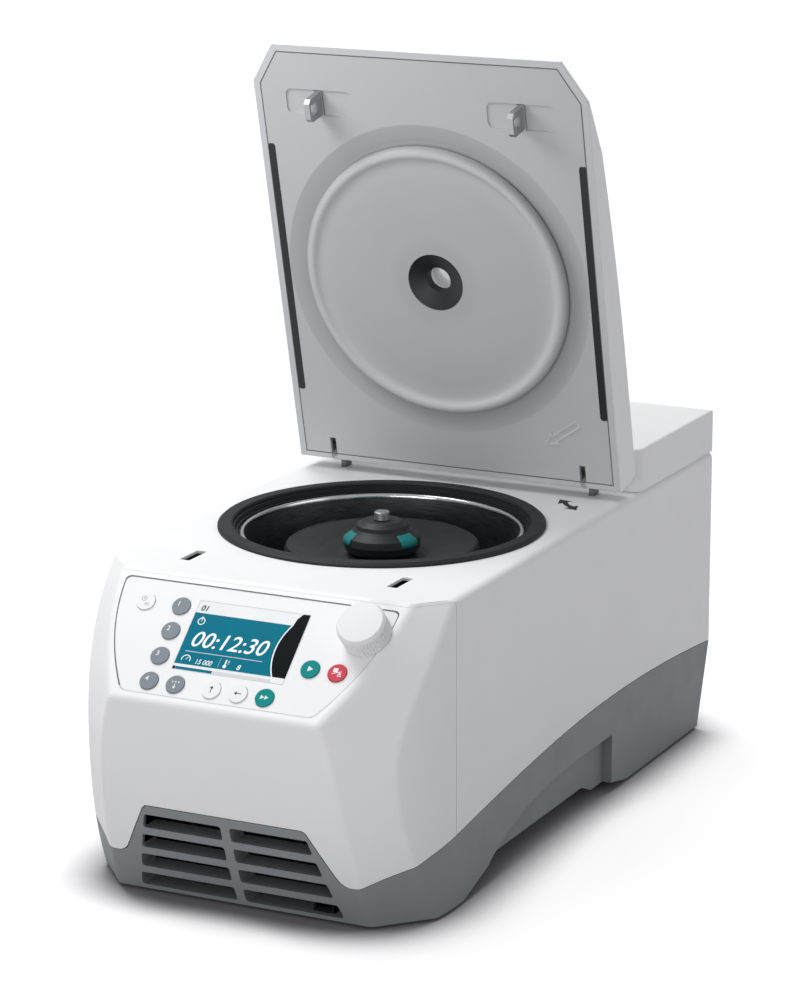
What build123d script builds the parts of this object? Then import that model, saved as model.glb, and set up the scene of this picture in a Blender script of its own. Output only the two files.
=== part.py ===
from build123d import *
import os
from math import asin, cos, degrees, pi, radians, sin, sqrt

# Refrigerated microcentrifuge, standing on its feet, lid open.
# Millimetres, X to the right, Y to the back, Z up, origin under the middle of the body.

# Overall body
width = 272.0
depth = 575.0
height = 260.0
lid_thick = 30.0
lid_lift = 4.0
floor_gap = 2.0
shell_wall = 3.0
panel_wall = 4.0
sheet = 2.0
seam_gap = 0.3
shell_gap = 0.6
fit_gap = 0.3
running_fit = 0.05
far = 600.0

# Front and side shape
panel_drop = 70.0
panel_top_inset = 78.5
front_middle_inset = 13.5
front_middle_z = 72.0
front_toe_inset = 40.0
panel_foot_round = 7.0
deck_edge_round = 6.0
seam_inset = 102.5
side_bow_radius = 155.0
corner_turn = 47.0
corner_round = 8.0
corner_cut = 36.14
corner_mid_drop = 108.0
corner_top_drop = 33.8
corner_foot_drop = 17.6
rear_foot_inset = 22.0
rear_waist_z = 68.0

# Underside, from the front or the rear end
front_pad_length = 114.5
arch_front_inset = 155.5
arch_rear_inset = 236.5
arch_z = 14.7
step_z = 7.4
step_front_inset = 219.5
step_rear_inset = 195.5
rear_pad_inset = 169.5
foot_radius = 9.0
foot_front_side = 38.0
foot_front_inset = 73.5
foot_rear_side = 24.0
foot_rear_inset = 59.5

# Line between the grey base and the white housing
wave_seam_z = 54.2
wave_crest_inset = 225.5
wave_crest_z = 77.0
wave_corner_z = 44.4
wave_corner_run = 51.0
wave_low_z = 33.0
wave_low_run = 77.0
hump_top_z = 74.7
hump_top_side = 73.0
hump_foot_side = 50.0
hump_round = 6.0
hump_foot_round = 12.0
hump_foot_run = 14.0

# Side grip pockets
grip_depth = 8.0
grip_front_inset = 156.0
grip_rear_inset = 197.5
grip_front_z = 15.6
grip_middle_z = 44.0
grip_rear_z = 46.5

# Front air grille
slot_rows = 4
slot_pitch = 17.0
slot_height = 11.0
slot_first_z = 5.5
slot_side = 5.0
slot_lean = 0.27
mullion_half = 3.5
slot_round = 2.0
grille_depth = 18.0
grille_margin = 2.0
socket_side = 19.0
socket_width = 16.0
socket_inset = 43.5
socket_length = 13.0
socket_wall = 2.0
socket_mouth = 6.4
socket_tongue = 1.2

# Chamber
chamber_room = 50.2
chamber_depth = 108.0
rim_shelf = 8.2
rim_width = 11.2
rim_seat = 2.1
rim_rise = 3.4
bowl_inner = 102.0
bowl_wall = 1.2
bowl_lip_drop = 3.8
bowl_flange_drop = 6.7
bowl_corner = 16.0
bowl_hole = 18.3
tube_coil_radius = 4.0
coil_turns = 6
coil_pitch = 12.0
coil_gap = 0.2
foam_side = 7.5
foam_floor = 10.0
guard_wall = 3.0
guard_below = 6.0

# Lid
lid_length = 341.0
lid_rear_gap = 4.5
lid_nose_length = 29.4
lid_nose_side = 19.0
lid_wall = 2.6
lid_lip = 5.6
lid_panel = 3.0
lid_nose_rise = 3.5
lid_shoulder_run = 57.0
lid_shoulder_share = 0.52
lid_back_run = 178.0
lid_back_share = 0.89
lid_corner_rise = 2.8
lid_corner_slope = 0.6
hinge_inset = 12.7
hinge_side = 30.0
hinge_plate = 4.0
hinge_width = 10.0
hinge_ear = 9.0
hinge_foot = 8.0
hinge_pin_radius = 3.0
lid_opening = 77.2
disc_side = 2.5
disc_drop = 6.5
disc_dish = 3.4
disc_bead = 5.0
disc_blend = 18.0
moat_side = 12.0
moat_depth = 2.0
slit_width = 5.0
slit_depth = 10.0
slit_front_run = 79.0
slit_rear_run = 59.0
bushing_radius = 22.3
bushing_cone = 5.4
bushing_lip = 9.0
sight_radius = 9.6
sight_wall = 3.4
sight_glass = 4.0
sight_glass_inset = 12.7

# Lid locks
hook_side = 53.5
hook_inset = 44.0
hook_plate = 4.4
hook_width = 18.0
hook_drop = 19.5
hook_hole = 8.4
hook_pad_half = 27.5
hook_pad_width = 20.0
hook_pad_depth = 1.0
hook_pad_round = 5.0
hook_foot_half = 3.4
slot_length = 26.0
slot_width = 8.0
bolt_side = 7.0
bolt_length = 20.0
bolt_above_tip = 6.6
lock_length = 33.5
lock_inner = 30.0
lock_outer = 14.0
lock_below = 12.0

# Rotor and drive
shaft_radius = 6.0
shaft_foot_in = 2.0
shaft_reach = 42.0
rotor_gap = 32.0
rotor_foot_radius = 82.0
rotor_height = 53.0
rotor_top_radius = 72.0
rotor_hub_radius = 19.0
rotor_hub_height = 47.0
tube_count = 12
tube_radius = 5.5
tube_depth = 36.0
tube_angle = 45.0
mouth_radius = 47.0
mouth_height = 37.0
mouth_step = 16.0
mouth_rim = 14.0
dish_radius = 70.0
dish_rim_height = 63.0
dish_floor_height = 54.0
dish_wall = 2.0
grip_barrel_radius = 28.8
grip_barrel_height = 72.0
grip_cap_radius = 19.0
grip_cap_height = 79.4
grip_stem_radius = 11.0
nut_radius = 5.8
nut_top_height = 85.9
nut_foot_height = 80.0
nut_stem_radius = 3.0
nut_hole = 16.0

# Motor
motor_radius = 44.0
motor_below = 12.0
motor_wall = 3.0
motor_shoulder = 12.0
stator_inner = 24.0
mount_plate_radius = 62.0
mount_plate = 3.0
buffer_radius = 9.0
buffer_height = 20.1
buffer_circle = 50.0

# Cooling
chassis_lift = 0.2
chassis_side = 3.0
chassis_front_inset = 117.5
chassis_rear_inset = 29.5
chassis_leg_x = 60.0
chassis_leg_half = 8.0
chassis_leg_length = 30.0
condenser_side = 7.0
condenser_inset = 59.5
condenser_depth = 24.0
condenser_lift = 0.6
condenser_height = 122.4
condenser_frame = 4.0
fin_count = 14
fin_half = 1.0
fin_depth = 6.0
fan_side = 120.0
fan_depth = 25.0
fan_wall = 4.0
fan_hub_radius = 20.0
fan_pin_radius = 3.0
fan_strut_half = 3.0
fan_blades_count = 7
fan_blade_pitch = 35.0
fan_blade_width = 18.0
fan_blade_thick = 1.6
compressor_x = -52.0
compressor_inset = 81.5
compressor_radius = 50.0
compressor_height = 152.1
compressor_round = 18.0
compressor_lift = 6.0
compressor_plate = 6.0
compressor_foot_x = 38.0
compressor_foot_y = 22.0
compressor_foot_radius = 7.0
pipe_radius = 4.0
pipe_bend = 14.0
pipe_drop = 60.0
pipe_reach = 60.0
pipe_low_z = 60.0
drier_radius = 9.0
drier_length = 55.6
drier_inset = 147.7

# Power board
power_side = 32.0
power_inset = 25.5
power_length = 106.0
power_low = 10.1
power_tall = 60.0
power_foot_half = 9.0

# Control panel
plate_thick = 2.0
plate_top_side = 28.5
plate_middle_side = 37.5
plate_foot_side = 61.5
plate_top_d = 7.5
plate_foot_margin = 6.68
plate_round = 5.0
screen_side = 64.0
screen_height = 57.0
screen_d = 48.0
screen_frame = 3.0
glass_thick = 1.8
key_radius = 6.9
key_rise = 1.0
key_travel = 0.8
key_flange = 1.0
key_stem = 6.2
key_pitch = 20.7
key_column_side = 51.5
key_top_d = 26.6
key_row_run = 28.5
start_side = 48.3
start_d = 61.7
power_key_side = 23.2
knob_side = 16.5
knob_d = 29.5
knob_radius = 17.7
knob_height = 18.0
knob_round = 1.5
knob_stem = 3.0
encoder_side = 13.0
board_depth = 12.0
board_thick = 1.6
board_inset = 8.0
board_post = 3.0

# Rear
block_corner = 10.0
block_round = 2.0
rear_plate = 2.0
inlet_side = 64.0
inlet_rise = 37.0
inlet_width = 48.0
inlet_height = 28.0
inlet_depth = 22.0
inlet_flange = 3.0
inlet_mouth_half = 12.5
inlet_mouth_tall = 17.0
inlet_pocket = 18.0
pin_half = 1.0
pin_tall = 4.0
switch_rise = 27.0
switch_width = 30.0
switch_height = 22.0
switch_frame = 3.0
rocker_tilt = 8.0
rocker_inset = 8.0
rocker_pin = 1.5
vent_pitch = 13.0
vent_height = 5.0
vent_margin = 24.0
vent_top = 30.0
vent_side = 28.0
vent_inlet_gap = 32.0

# Places that follow from these sizes
half = width / 2
front_y = -depth / 2
rear_y = depth / 2
seam_y = front_y + seam_inset
deck_front_y = front_y + panel_top_inset
lid_seat_z = height - lid_thick
deck_z = lid_seat_z - lid_lift
panel_foot_z = deck_z - panel_drop
corner_mid_z = deck_z - corner_mid_drop
corner_reach = half * sin(radians(corner_turn)) + depth / 2 * cos(radians(corner_turn)) - corner_cut
front_pad_end = front_y + front_pad_length
arch_front = front_y + arch_front_inset
arch_rear = rear_y - arch_rear_inset
step_front = rear_y - step_front_inset
step_rear = rear_y - step_rear_inset
rear_pad_start = rear_y - rear_pad_inset
foot_front_x = half - foot_front_side
foot_front_y = front_y + foot_front_inset
foot_rear_x = half - foot_rear_side
foot_rear_y = rear_y - foot_rear_inset
wave_crest_y = rear_y - wave_crest_inset
hump_top_half = half - hump_top_side
hump_foot_half = half - hump_foot_side
grip_front = front_y + grip_front_inset
grip_rear = rear_y - grip_rear_inset
slot_foot_half = hump_foot_half - slot_side
socket_x = slot_foot_half - socket_side
socket_front_y = front_y + socket_inset
rim_inner = bowl_inner + rim_shelf
rim_outer = rim_inner + rim_width
deck_hole = rim_inner + rim_seat
bowl_floor_z = deck_z - chamber_depth
bowl_lip_z = deck_z - bowl_lip_drop
bowl_flange_z = deck_z - bowl_flange_drop
foam_outer = half - sheet - foam_side
guard_inner = foam_outer + fit_gap
guard_outer = guard_inner + guard_wall
chamber_y = deck_front_y + chamber_room + guard_outer
lid_rear_y = deck_front_y + lid_length
block_y = lid_rear_y + lid_rear_gap
lid_nose_half = half - lid_nose_side
hinge_y = lid_rear_y - hinge_inset
hinge_z = height - lid_wall - seam_gap - hinge_width / 2
hinge_x = half - hinge_side
disc_radius = rim_inner - disc_side
moat_radius = half - moat_side
hook_x = half - hook_side
hook_y = deck_front_y + hook_inset
bolt_z = lid_seat_z - hook_drop + bolt_above_tip
rotor_foot_z = bowl_floor_z + rotor_gap
shaft_top_z = rotor_foot_z + shaft_reach
rotor_top_z = rotor_foot_z + rotor_height
rotor_hub_top_z = rotor_foot_z + rotor_hub_height
mouth_z = rotor_foot_z + mouth_height
dish_rim_z = rotor_foot_z + dish_rim_height
dish_floor_z = rotor_foot_z + dish_floor_height
grip_barrel_top_z = rotor_foot_z + grip_barrel_height
grip_cap_top_z = rotor_foot_z + grip_cap_height
nut_foot_z = rotor_foot_z + nut_foot_height
nut_top_z = rotor_foot_z + nut_top_height
chassis_z = arch_z + shell_wall + chassis_lift
chassis_top_z = chassis_z + sheet
chassis_half = half - grip_depth - shell_wall - chassis_side
chassis_front_y = front_y + chassis_front_inset
chassis_rear_y = rear_y - chassis_rear_inset
motor_foot_z = chassis_top_z + buffer_height + mount_plate
motor_top_z = bowl_floor_z - motor_below
shaft_foot_z = motor_foot_z + shaft_foot_in
condenser_half = slot_foot_half + condenser_side
condenser_front_y = front_y + condenser_inset
condenser_foot_z = floor_gap + shell_wall + condenser_lift
condenser_top_z = condenser_foot_z + condenser_height
compressor_y = rear_y - compressor_inset
compressor_top_z = chassis_top_z + compressor_height
drier_y = rear_y - drier_inset
panel_length = sqrt(panel_drop**2 + panel_top_inset**2)
plate_top_half = half - plate_top_side
plate_middle_half = half - plate_middle_side
plate_foot_half = half - plate_foot_side
plate_foot_d = panel_length - plate_foot_margin
screen_width = 2 * (plate_top_half - screen_side)
key_column_x = key_column_side - plate_top_half
key_row_x = key_column_x + key_pitch + key_row_run
start_x = plate_top_half - start_side
power_x = power_key_side - plate_top_half
knob_x = plate_top_half - knob_side
inlet_x = half - inlet_side
inlet_z = rear_waist_z + inlet_rise
switch_z = inlet_z + switch_rise


def save(name, part):
    if isinstance(part, (list, ShapeList)):
        part = Compound(children=list(part))
    export_step(part, "parts/" + name + ".step")


def across(face, reach=far):
    return extrude(face, amount=reach, dir=(1, 0, 0), both=True)


def inward(face, amount):
    return offset(face, amount=-amount, kind=Kind.INTERSECTION) if amount else face


def side_profile():
    # Seen from the side: toe, leaning front, sloping panel, deck, back and stepped underside
    toe = (front_y + front_toe_inset, floor_gap)
    chin = (front_y, panel_foot_z)
    brow = (deck_front_y, deck_z)
    front = ThreePointArc(toe, (front_y + front_middle_inset, front_middle_z), chin)
    back = Polyline(
        chin,
        brow,
        (rear_y, deck_z),
        (rear_y, rear_waist_z),
        (rear_y - rear_foot_inset, floor_gap),
        (rear_pad_start, floor_gap),
        (step_rear, step_z),
        (step_front, step_z),
        (arch_rear, arch_z),
        (arch_front, arch_z),
        (front_pad_end, floor_gap),
        toe,
    )
    face = make_face(front + back)
    chin_corner = face.vertices().sort_by_distance(chin)[0]
    return fillet(chin_corner, panel_foot_round)


def plan_profile():
    # Seen from above: straight sides that bow in ahead of the seam
    nose_turn = 45.0
    centre_x = half - side_bow_radius
    right = CenterArc((centre_x, seam_y), side_bow_radius, 0, -nose_turn)
    left = CenterArc((-centre_x, seam_y), side_bow_radius, 180, nose_turn)
    end_r, end_l = right @ 1, left @ 1
    rest = Polyline((half, seam_y), (half, rear_y), (-half, rear_y), (-half, seam_y))
    return make_face(right + left + rest + Line(end_l, end_r))


def crown_profile():
    # Seen from the front: upright sides with softly rounded deck edges
    face = Rectangle(width, deck_z + far, align=(Align.CENTER, Align.MAX))
    face = Pos(0, deck_z) * face
    top = face.vertices().group_by(Axis.Y)[-1]
    return fillet(top, deck_edge_round)


def corner_profile():
    # Distance of the turned front corner from the middle, at each height
    rise = deck_z - corner_mid_z
    upper = (rise**2 + corner_top_drop**2) / (2 * corner_top_drop)
    lower = (corner_mid_z**2 + corner_foot_drop**2) / (2 * corner_foot_drop)
    over = 2.0
    up_arc = CenterArc(
        (corner_reach - upper, corner_mid_z), upper, 0, degrees(asin(rise / upper)) + over
    )
    down_arc = CenterArc(
        (corner_reach - lower, corner_mid_z), lower, 0, -degrees(asin(corner_mid_z / lower)) - over
    )
    top, foot = up_arc @ 1, down_arc @ 1
    rest = Polyline((top.X, top.Y), (-far, top.Y), (-far, foot.Y), (foot.X, foot.Y))
    return make_face(up_arc + down_arc + rest)


def corner_block(side, inset):
    turn = radians(corner_turn)
    out = (side * sin(turn), -cos(turn), 0)
    along = Vector(*out).cross(Vector(0, 0, 1))
    plane = Plane(origin=(0, 0, 0), x_dir=out, z_dir=along)
    face = inward(corner_profile(), inset)
    return extrude(plane * face, amount=far, both=True)


def body(inset=0.0):
    solid = across(Plane.YZ * inward(side_profile(), inset), half + 20)
    plan = inward(plan_profile(), inset)
    solid &= extrude(plan, amount=deck_z + 20, both=True)
    solid &= extrude(Plane.XZ * inward(crown_profile(), inset), amount=far, both=True)
    solid &= corner_block(1, inset)
    solid &= corner_block(-1, inset)
    return solid


def soft_body():
    # The body with the upright edges of its turned corners rounded
    solid = body()
    picked = []
    for edge in solid.edges():
        low, high = sorted(((edge @ 0).Z, (edge @ 1).Z))
        upright = high - low > 1 and low < deck_z - deck_edge_round - 1
        if upright and (edge @ 0.5).Y < seam_y - 1:
            picked.append(edge)
    return fillet(picked, corner_round)


def slab(x0, x1, y0, y1, z0, z1):
    return Pos((x0 + x1) / 2, (y0 + y1) / 2, (z0 + z1) / 2) * Box(x1 - x0, y1 - y0, z1 - z0)


def post(x, y, z0, z1, radius):
    return Pos(x, y, (z0 + z1) / 2) * Cylinder(radius, z1 - z0)


def bore_x(x0, x1, y, z, radius):
    return Pos((x0 + x1) / 2, y, z) * Rot(0, 90, 0) * Cylinder(radius, x1 - x0)


def turned(*points):
    # Solid turned about the rotor axis from radius and height points
    profile = make_face(Plane.XZ * Polyline(*points, close=True))
    return Pos(0, chamber_y, 0) * revolve(profile, Axis.Z)


def base_zone(grow=0.0):
    # Everything below the wave line, with the raised middle round the grille
    low, front_end = -20, front_y - 20
    low_y = seam_y - wave_low_run
    top = Spline(
        (low_y, wave_low_z + grow),
        (seam_y - wave_corner_run, wave_corner_z + grow),
        (seam_y, wave_seam_z + grow),
        (wave_crest_y, wave_crest_z + grow),
        (rear_y + 1, rear_waist_z + grow),
    )
    rest = Polyline(
        (rear_y + 1, rear_waist_z + grow), (rear_y + 1, low), (front_end, low),
        (front_end, wave_low_z + grow), (low_y, wave_low_z + grow),
    )
    wave = across(Plane.YZ * make_face(top + rest), half + 20)
    peak, foot, edge = hump_top_half + grow, hump_foot_half + grow, wave_low_z + grow
    wide = hump_foot_half + hump_foot_run
    hump = make_face(
        Polyline(
            (-peak, hump_top_z + grow), (peak, hump_top_z + grow), (foot, edge), (wide, edge),
            (wide, low), (-wide, low), (-wide, edge), (-foot, edge), close=True,
        )
    )
    feet = [v for v in hump.vertices() if abs(abs(v.X) - foot) < 0.01]
    hump = fillet(feet, hump_foot_round)
    hump = fillet(hump.vertices().group_by(Axis.Y)[-1], hump_round)
    raised = extrude(Plane.XZ * hump, amount=far) & slab(-half, half, -far, seam_y - 30, low, deck_z)
    return wave + raised


def grip_pocket(side, grow=0.0):
    front, rear = grip_front - grow, grip_rear + grow
    top = Spline(
        (front, grip_front_z + grow),
        ((front + rear) / 2, grip_middle_z + grow),
        (rear, grip_rear_z + grow),
        tangents=((1.0, 0.55), (1.0, 0.0)),
    )
    rest = Polyline((rear, grip_rear_z + grow), (rear, -20), (front, -20), (front, grip_front_z + grow))
    block = extrude(Plane.YZ * make_face(top + rest), amount=far, dir=(1, 0, 0))
    block = Pos(half - grip_depth - grow, 0, 0) * block
    return block if side > 0 else mirror(block, Plane.YZ)


def grille_slot(row, side):
    foot = slot_first_z + row * slot_pitch
    top = foot + slot_height
    foot_half = slot_foot_half - slot_lean * (foot - slot_first_z)
    top_half = slot_foot_half - slot_lean * (top - slot_first_z)
    face = make_face(
        Polyline(
            (side * mullion_half, foot),
            (side * foot_half, foot),
            (side * top_half, top),
            (side * mullion_half, top),
            close=True,
        )
    )
    face = fillet(face.vertices(), slot_round)
    return extrude(Plane.XZ * face, amount=far)


def grille_block(outer):
    # Thick wall behind the raised middle, so that each slot is a deep tray
    peak, foot = hump_top_half - grille_margin, slot_foot_half + grille_margin
    low, high = floor_gap, hump_top_z - grille_margin
    face = make_face(
        Polyline(
            (-peak, high), (peak, high), (foot, slot_first_z), (foot, low), (-foot, low),
            (-foot, slot_first_z), close=True,
        )
    )
    zone = extrude(Plane.XZ * face, amount=far)
    return (outer - Pos(0, grille_depth, 0) * outer) & zone


def base_housing(outer, inner):
    pockets = [grip_pocket(1), grip_pocket(-1)]
    shields = [grip_pocket(1, shell_wall), grip_pocket(-1, shell_wall)]
    cavity = inner - shields
    shell = ((outer - cavity) & base_zone()) - pockets + grille_block(outer)
    for row in range(slot_rows):
        for side in (-1, 1):
            shell -= Pos(0, seam_y - 40, 0) * grille_slot(row, side)
    return shell


def rubber_feet():
    places = [(foot_front_x, foot_front_y), (foot_rear_x, foot_rear_y)]
    return [post(s * x, y, 0, floor_gap, foot_radius) for x, y in places for s in (-1, 1)]


def deck_tongue(outer, grow=0.0):
    return outer & slab(-half, half, front_y, seam_y + grow, deck_z - sheet - grow, deck_z + 5)


def lock_slot(side, z0, z1):
    x = side * hook_x
    return slab(
        x - slot_width / 2, x + slot_width / 2, hook_y - slot_length / 2, hook_y + slot_length / 2, z0, z1
    )


def main_housing(outer, thin_inner):
    shell = (outer - thin_inner - base_zone(shell_gap)) & slab(-half, half, seam_y, rear_y, 0, deck_z)
    back = rear_y - rear_plate - seam_gap
    shell -= slab(-half + sheet, half - sheet, back, rear_y + 1, 0, deck_z - sheet)
    shell += deck_tongue(outer)
    shell -= post(0, chamber_y, deck_z - 20, deck_z + 5, deck_hole)
    for side in (-1, 1):
        shell -= lock_slot(side, deck_z - 20, deck_z + 5)
        shell -= hinge_passage(side, fit_gap)
    return shell


def hinge_passage(side, gap):
    x = side * hinge_x
    w, l = hinge_plate / 2 + gap, hinge_width / 2 + gap
    return slab(x - w, x + w, hinge_y - l, hinge_y + l, deck_z - 20, deck_z + 5)


def panel_frame():
    # Plane of the sloping panel: X right, Y up the slope, origin at the deck's front edge
    run = panel_top_inset
    drop = deck_z - panel_foot_z
    normal = (0, -drop, run)
    return Plane(origin=(0, deck_front_y, deck_z), x_dir=(1, 0, 0), z_dir=normal)


def plate_outline(inset=0.0):
    high, low = -plate_top_d - inset, -plate_foot_d + inset
    middle = (high + low) / 2
    top, waist, foot = plate_top_half - inset, plate_middle_half - inset, plate_foot_half - inset
    right = ThreePointArc((top, high), (waist, middle), (foot, low))
    left = ThreePointArc((-foot, low), (-waist, middle), (-top, high))
    wires = right + Line(right @ 1, left @ 0) + left + Line(left @ 1, right @ 0)
    face = make_face(wires)
    return fillet(face.vertices(), plate_round)


def key_places():
    # Name, across and down the panel
    places = [("key_power", power_x, key_top_d)]
    for row in range(4):
        places.append(("key_program_%d" % (row + 1), key_column_x, key_top_d + row * key_pitch))
    foot_d = key_top_d + 3 * key_pitch
    places.append(("key_store", key_column_x + key_pitch, foot_d))
    for step, name in enumerate(("key_info", "key_back", "key_quick_run")):
        places.append((name, key_row_x + step * key_pitch, foot_d))
    places.append(("key_start", start_x, start_d))
    places.append(("key_stop", start_x + key_pitch, start_d))
    return places


def on_panel(x, d, z0, z1, radius):
    return panel_frame() * Pos(x, -d, (z0 + z1) / 2) * Cylinder(radius, z1 - z0)


def panel_box(x, d, wide, tall, z0, z1):
    return panel_frame() * Pos(x, -d, (z0 + z1) / 2) * Box(wide, tall, z1 - z0)


def board_posts():
    # Between the keys: across and down the panel
    foot_d = key_top_d + 3 * key_pitch
    beside = start_x + key_pitch / 2
    return [
        ((power_x + key_column_x) / 2, key_top_d + key_pitch / 2),
        (beside, start_d - key_pitch),
        (key_row_x - key_row_run / 2, foot_d),
        (beside, start_d + key_pitch - board_post),
    ]


def front_housing(outer, thick_inner):
    gap = seam_gap / 2
    shell = (outer - thick_inner - base_zone(shell_gap)) & slab(
        -half, half, front_y, seam_y - shell_gap, 0, deck_z
    )
    shell -= deck_tongue(outer, gap)
    pocket = extrude(plate_outline(-fit_gap), amount=10)
    shell -= panel_frame() * Pos(0, 0, -plate_thick - 2 * seam_gap) * pocket
    for _, x, d in key_places():
        shell -= on_panel(x, d, -10, 5, key_radius + key_flange + 2 * seam_gap)
    shell -= on_panel(knob_x, knob_d, -10, 5, knob_stem + 1.0)
    inner = 2 * screen_frame
    shell -= panel_box(0, screen_d, screen_width - inner, screen_height - inner, -10, 5)
    for x, d in board_posts():
        shell += on_panel(x, d, -board_depth, -panel_wall + 0.5, board_post)
    return shell


def panel_plate():
    plate = extrude(plate_outline(), amount=plate_thick)
    plate = panel_frame() * Pos(0, 0, -plate_thick - seam_gap) * plate
    for _, x, d in key_places():
        plate -= on_panel(x, d, -10, 5, key_radius + fit_gap)
    plate -= on_panel(knob_x, knob_d, -10, 5, knob_stem + 1.0)
    plate -= panel_box(0, screen_d, screen_width + 0.4, screen_height + 0.4, -10, 5)
    return plate


def key(x, d):
    under = -plate_thick - seam_gap - 0.1
    low = under - 0.8
    cap = on_panel(x, d, low, key_rise - seam_gap, key_radius)
    flange = on_panel(x, d, low, under, key_radius + key_flange)
    stem = on_panel(x, d, -key_stem, low + 0.4, 2.0)
    return cap + flange + stem


def display_glass():
    return panel_box(0, screen_d, screen_width, screen_height, -seam_gap - glass_thick, -seam_gap)


def display_module():
    wide, tall = screen_width + screen_frame + 1, screen_height + screen_frame + 1
    return panel_box(0, screen_d, wide, tall, -board_depth, -panel_wall - 0.2)


def control_board():
    board = extrude(plate_outline(board_inset), amount=board_thick)
    board = panel_frame() * Pos(0, 0, -board_depth - board_thick) * board
    switch_top = -key_stem - key_travel - 0.2
    for _, x, d in key_places():
        board += on_panel(x, d, -board_depth - 0.1, switch_top, board_post)
    return board


def control_knob():
    cap = on_panel(knob_x, knob_d, 0, knob_height, knob_radius)
    cap = fillet(cap.edges().sort_by(Axis.Z)[-1], knob_round)
    stem = on_panel(knob_x, knob_d, -9.5, 0.5, knob_stem)
    return cap + stem


def knob_encoder():
    can = panel_box(knob_x, knob_d, encoder_side, encoder_side, -board_depth, -panel_wall - 1)
    neck = on_panel(knob_x, knob_d, -panel_wall - 1.5, -0.5, knob_stem + 0.7)
    return can + neck - on_panel(knob_x, knob_d, -10, 5, knob_stem + running_fit)


def rear_cover():
    outline = Rectangle(width, rear_y - block_y)
    outline = Pos(0, (rear_y + block_y) / 2) * outline
    front = outline.vertices().group_by(Axis.Y)[0]
    outline = fillet(front, block_corner)
    block = extrude(Pos(0, 0, deck_z + seam_gap) * outline, amount=height - deck_z - seam_gap)
    block = fillet(block.faces().sort_by(Axis.Z)[-1].edges(), block_round)
    hollow = extrude(Pos(0, 0, deck_z - 1) * inward(outline, shell_wall), amount=height - deck_z - 2)
    return block - hollow


def rear_panel():
    x = half - sheet - fit_gap
    y0, y1 = rear_y - rear_plate, rear_y
    plate = slab(-x, x, y0, y1, rear_waist_z + 6, deck_z - sheet - fit_gap)
    inlet_left = inlet_x - inlet_width / 2
    plate -= slab(
        inlet_left, inlet_left + inlet_width, y0 - 1, y1 + 1,
        inlet_z - inlet_height / 2, switch_z + switch_height / 2,
    )
    first, last = rear_waist_z + vent_margin, deck_z - vent_top
    for row in range(int((last - first) // vent_pitch) + 1):
        z = last - row * vent_pitch
        plate -= slab(vent_side - half, inlet_left - vent_inlet_gap, y0 - 1, y1 + 1, z, z + vent_height)
    return plate


def mains_module():
    # Power inlet with the switch above it, in one flange behind the rear panel
    back = rear_y - rear_plate
    low, high = inlet_z - inlet_height / 2, switch_z + switch_height / 2
    left, right = inlet_x - inlet_width / 2, inlet_x + inlet_width / 2
    rim, floor = inlet_flange, rear_y - inlet_pocket
    block = slab(
        left + fit_gap, right - fit_gap, rear_y - inlet_depth, rear_y, low + fit_gap, high - fit_gap
    )
    block += slab(left - rim, right + rim, back - 2.2, back, low - rim, high + rim)
    w, h = inlet_mouth_half, inlet_mouth_tall / 2
    block -= slab(inlet_x - w, inlet_x + w, floor, rear_y + 1, inlet_z - h, inlet_z + h)
    w, h = switch_width / 2 - switch_frame, switch_height / 2 - switch_frame
    block -= slab(inlet_x - w, inlet_x + w, floor, rear_y + 1, switch_z - h, switch_z + h)
    block += Pos(inlet_x, rear_y - rocker_inset, switch_z) * Cylinder(rocker_pin, 2 * h + 1)
    for dx, dz in ((-7, -2), (7, -2), (0, 3)):
        x, z = inlet_x + dx, inlet_z + dz
        low, high = z - pin_tall / 2, z + pin_tall / 2
        block += slab(x - pin_half, x + pin_half, floor - 1, rear_y - 6, low, high)
    return block


def power_switch_rocker():
    w, h = switch_width / 2 - switch_frame - 1.2, switch_height / 2 - switch_frame - 0.6
    face = make_face(Polyline((2 - w, -5), (w - 2, -5), (w, 5), (0, 3.5), (-w, 5), close=True))
    rocker = Pos(0, 0, -h) * extrude(face, amount=2 * h)
    rocker -= Cylinder(rocker_pin + running_fit, switch_height)
    return Pos(inlet_x, rear_y - rocker_inset, switch_z) * Rot(0, 0, -rocker_tilt) * rocker


def rim_gasket():
    top = deck_z + rim_rise
    return turned(
        (rim_outer, deck_z),
        (rim_outer, top - 1.6),
        (rim_outer - 1.8, top),
        (rim_inner + 1.0, top),
        (rim_inner, top - 1.0),
        (rim_inner, top - 3.2),
        (rim_inner - 1.6, top - 3.2),
        (rim_inner - 1.6, top - 6.4),
        (rim_inner - 3.8, top - 6.4),
        (rim_inner - 3.8, bowl_lip_z - 0.8),
        (bowl_inner + 3.0, bowl_lip_z - 0.8),
        (bowl_inner + 3.0, bowl_flange_z + fit_gap),
        (deck_hole - fit_gap, bowl_flange_z + fit_gap),
        (deck_hole - fit_gap, deck_z),
    )


def chamber_bowl():
    inside, outside = bowl_inner, bowl_inner + bowl_wall
    low = bowl_floor_z - bowl_wall
    shell = turned(
        (bowl_hole, low),
        (outside - bowl_corner, low),
        (outside, low + bowl_corner),
        (outside, bowl_flange_z - bowl_wall),
        (deck_hole - fit_gap, bowl_flange_z - bowl_wall),
        (deck_hole - fit_gap, bowl_flange_z),
        (inside + 2.6, bowl_flange_z),
        (inside + 2.6, bowl_lip_z - 0.8),
        (inside + 1.8, bowl_lip_z),
        (inside + 0.6, bowl_lip_z),
        (inside, bowl_lip_z - 0.8),
        (inside, bowl_floor_z + bowl_corner),
        (inside - bowl_corner, bowl_floor_z),
        (bowl_hole, bowl_floor_z),
    )
    return shell


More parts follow.
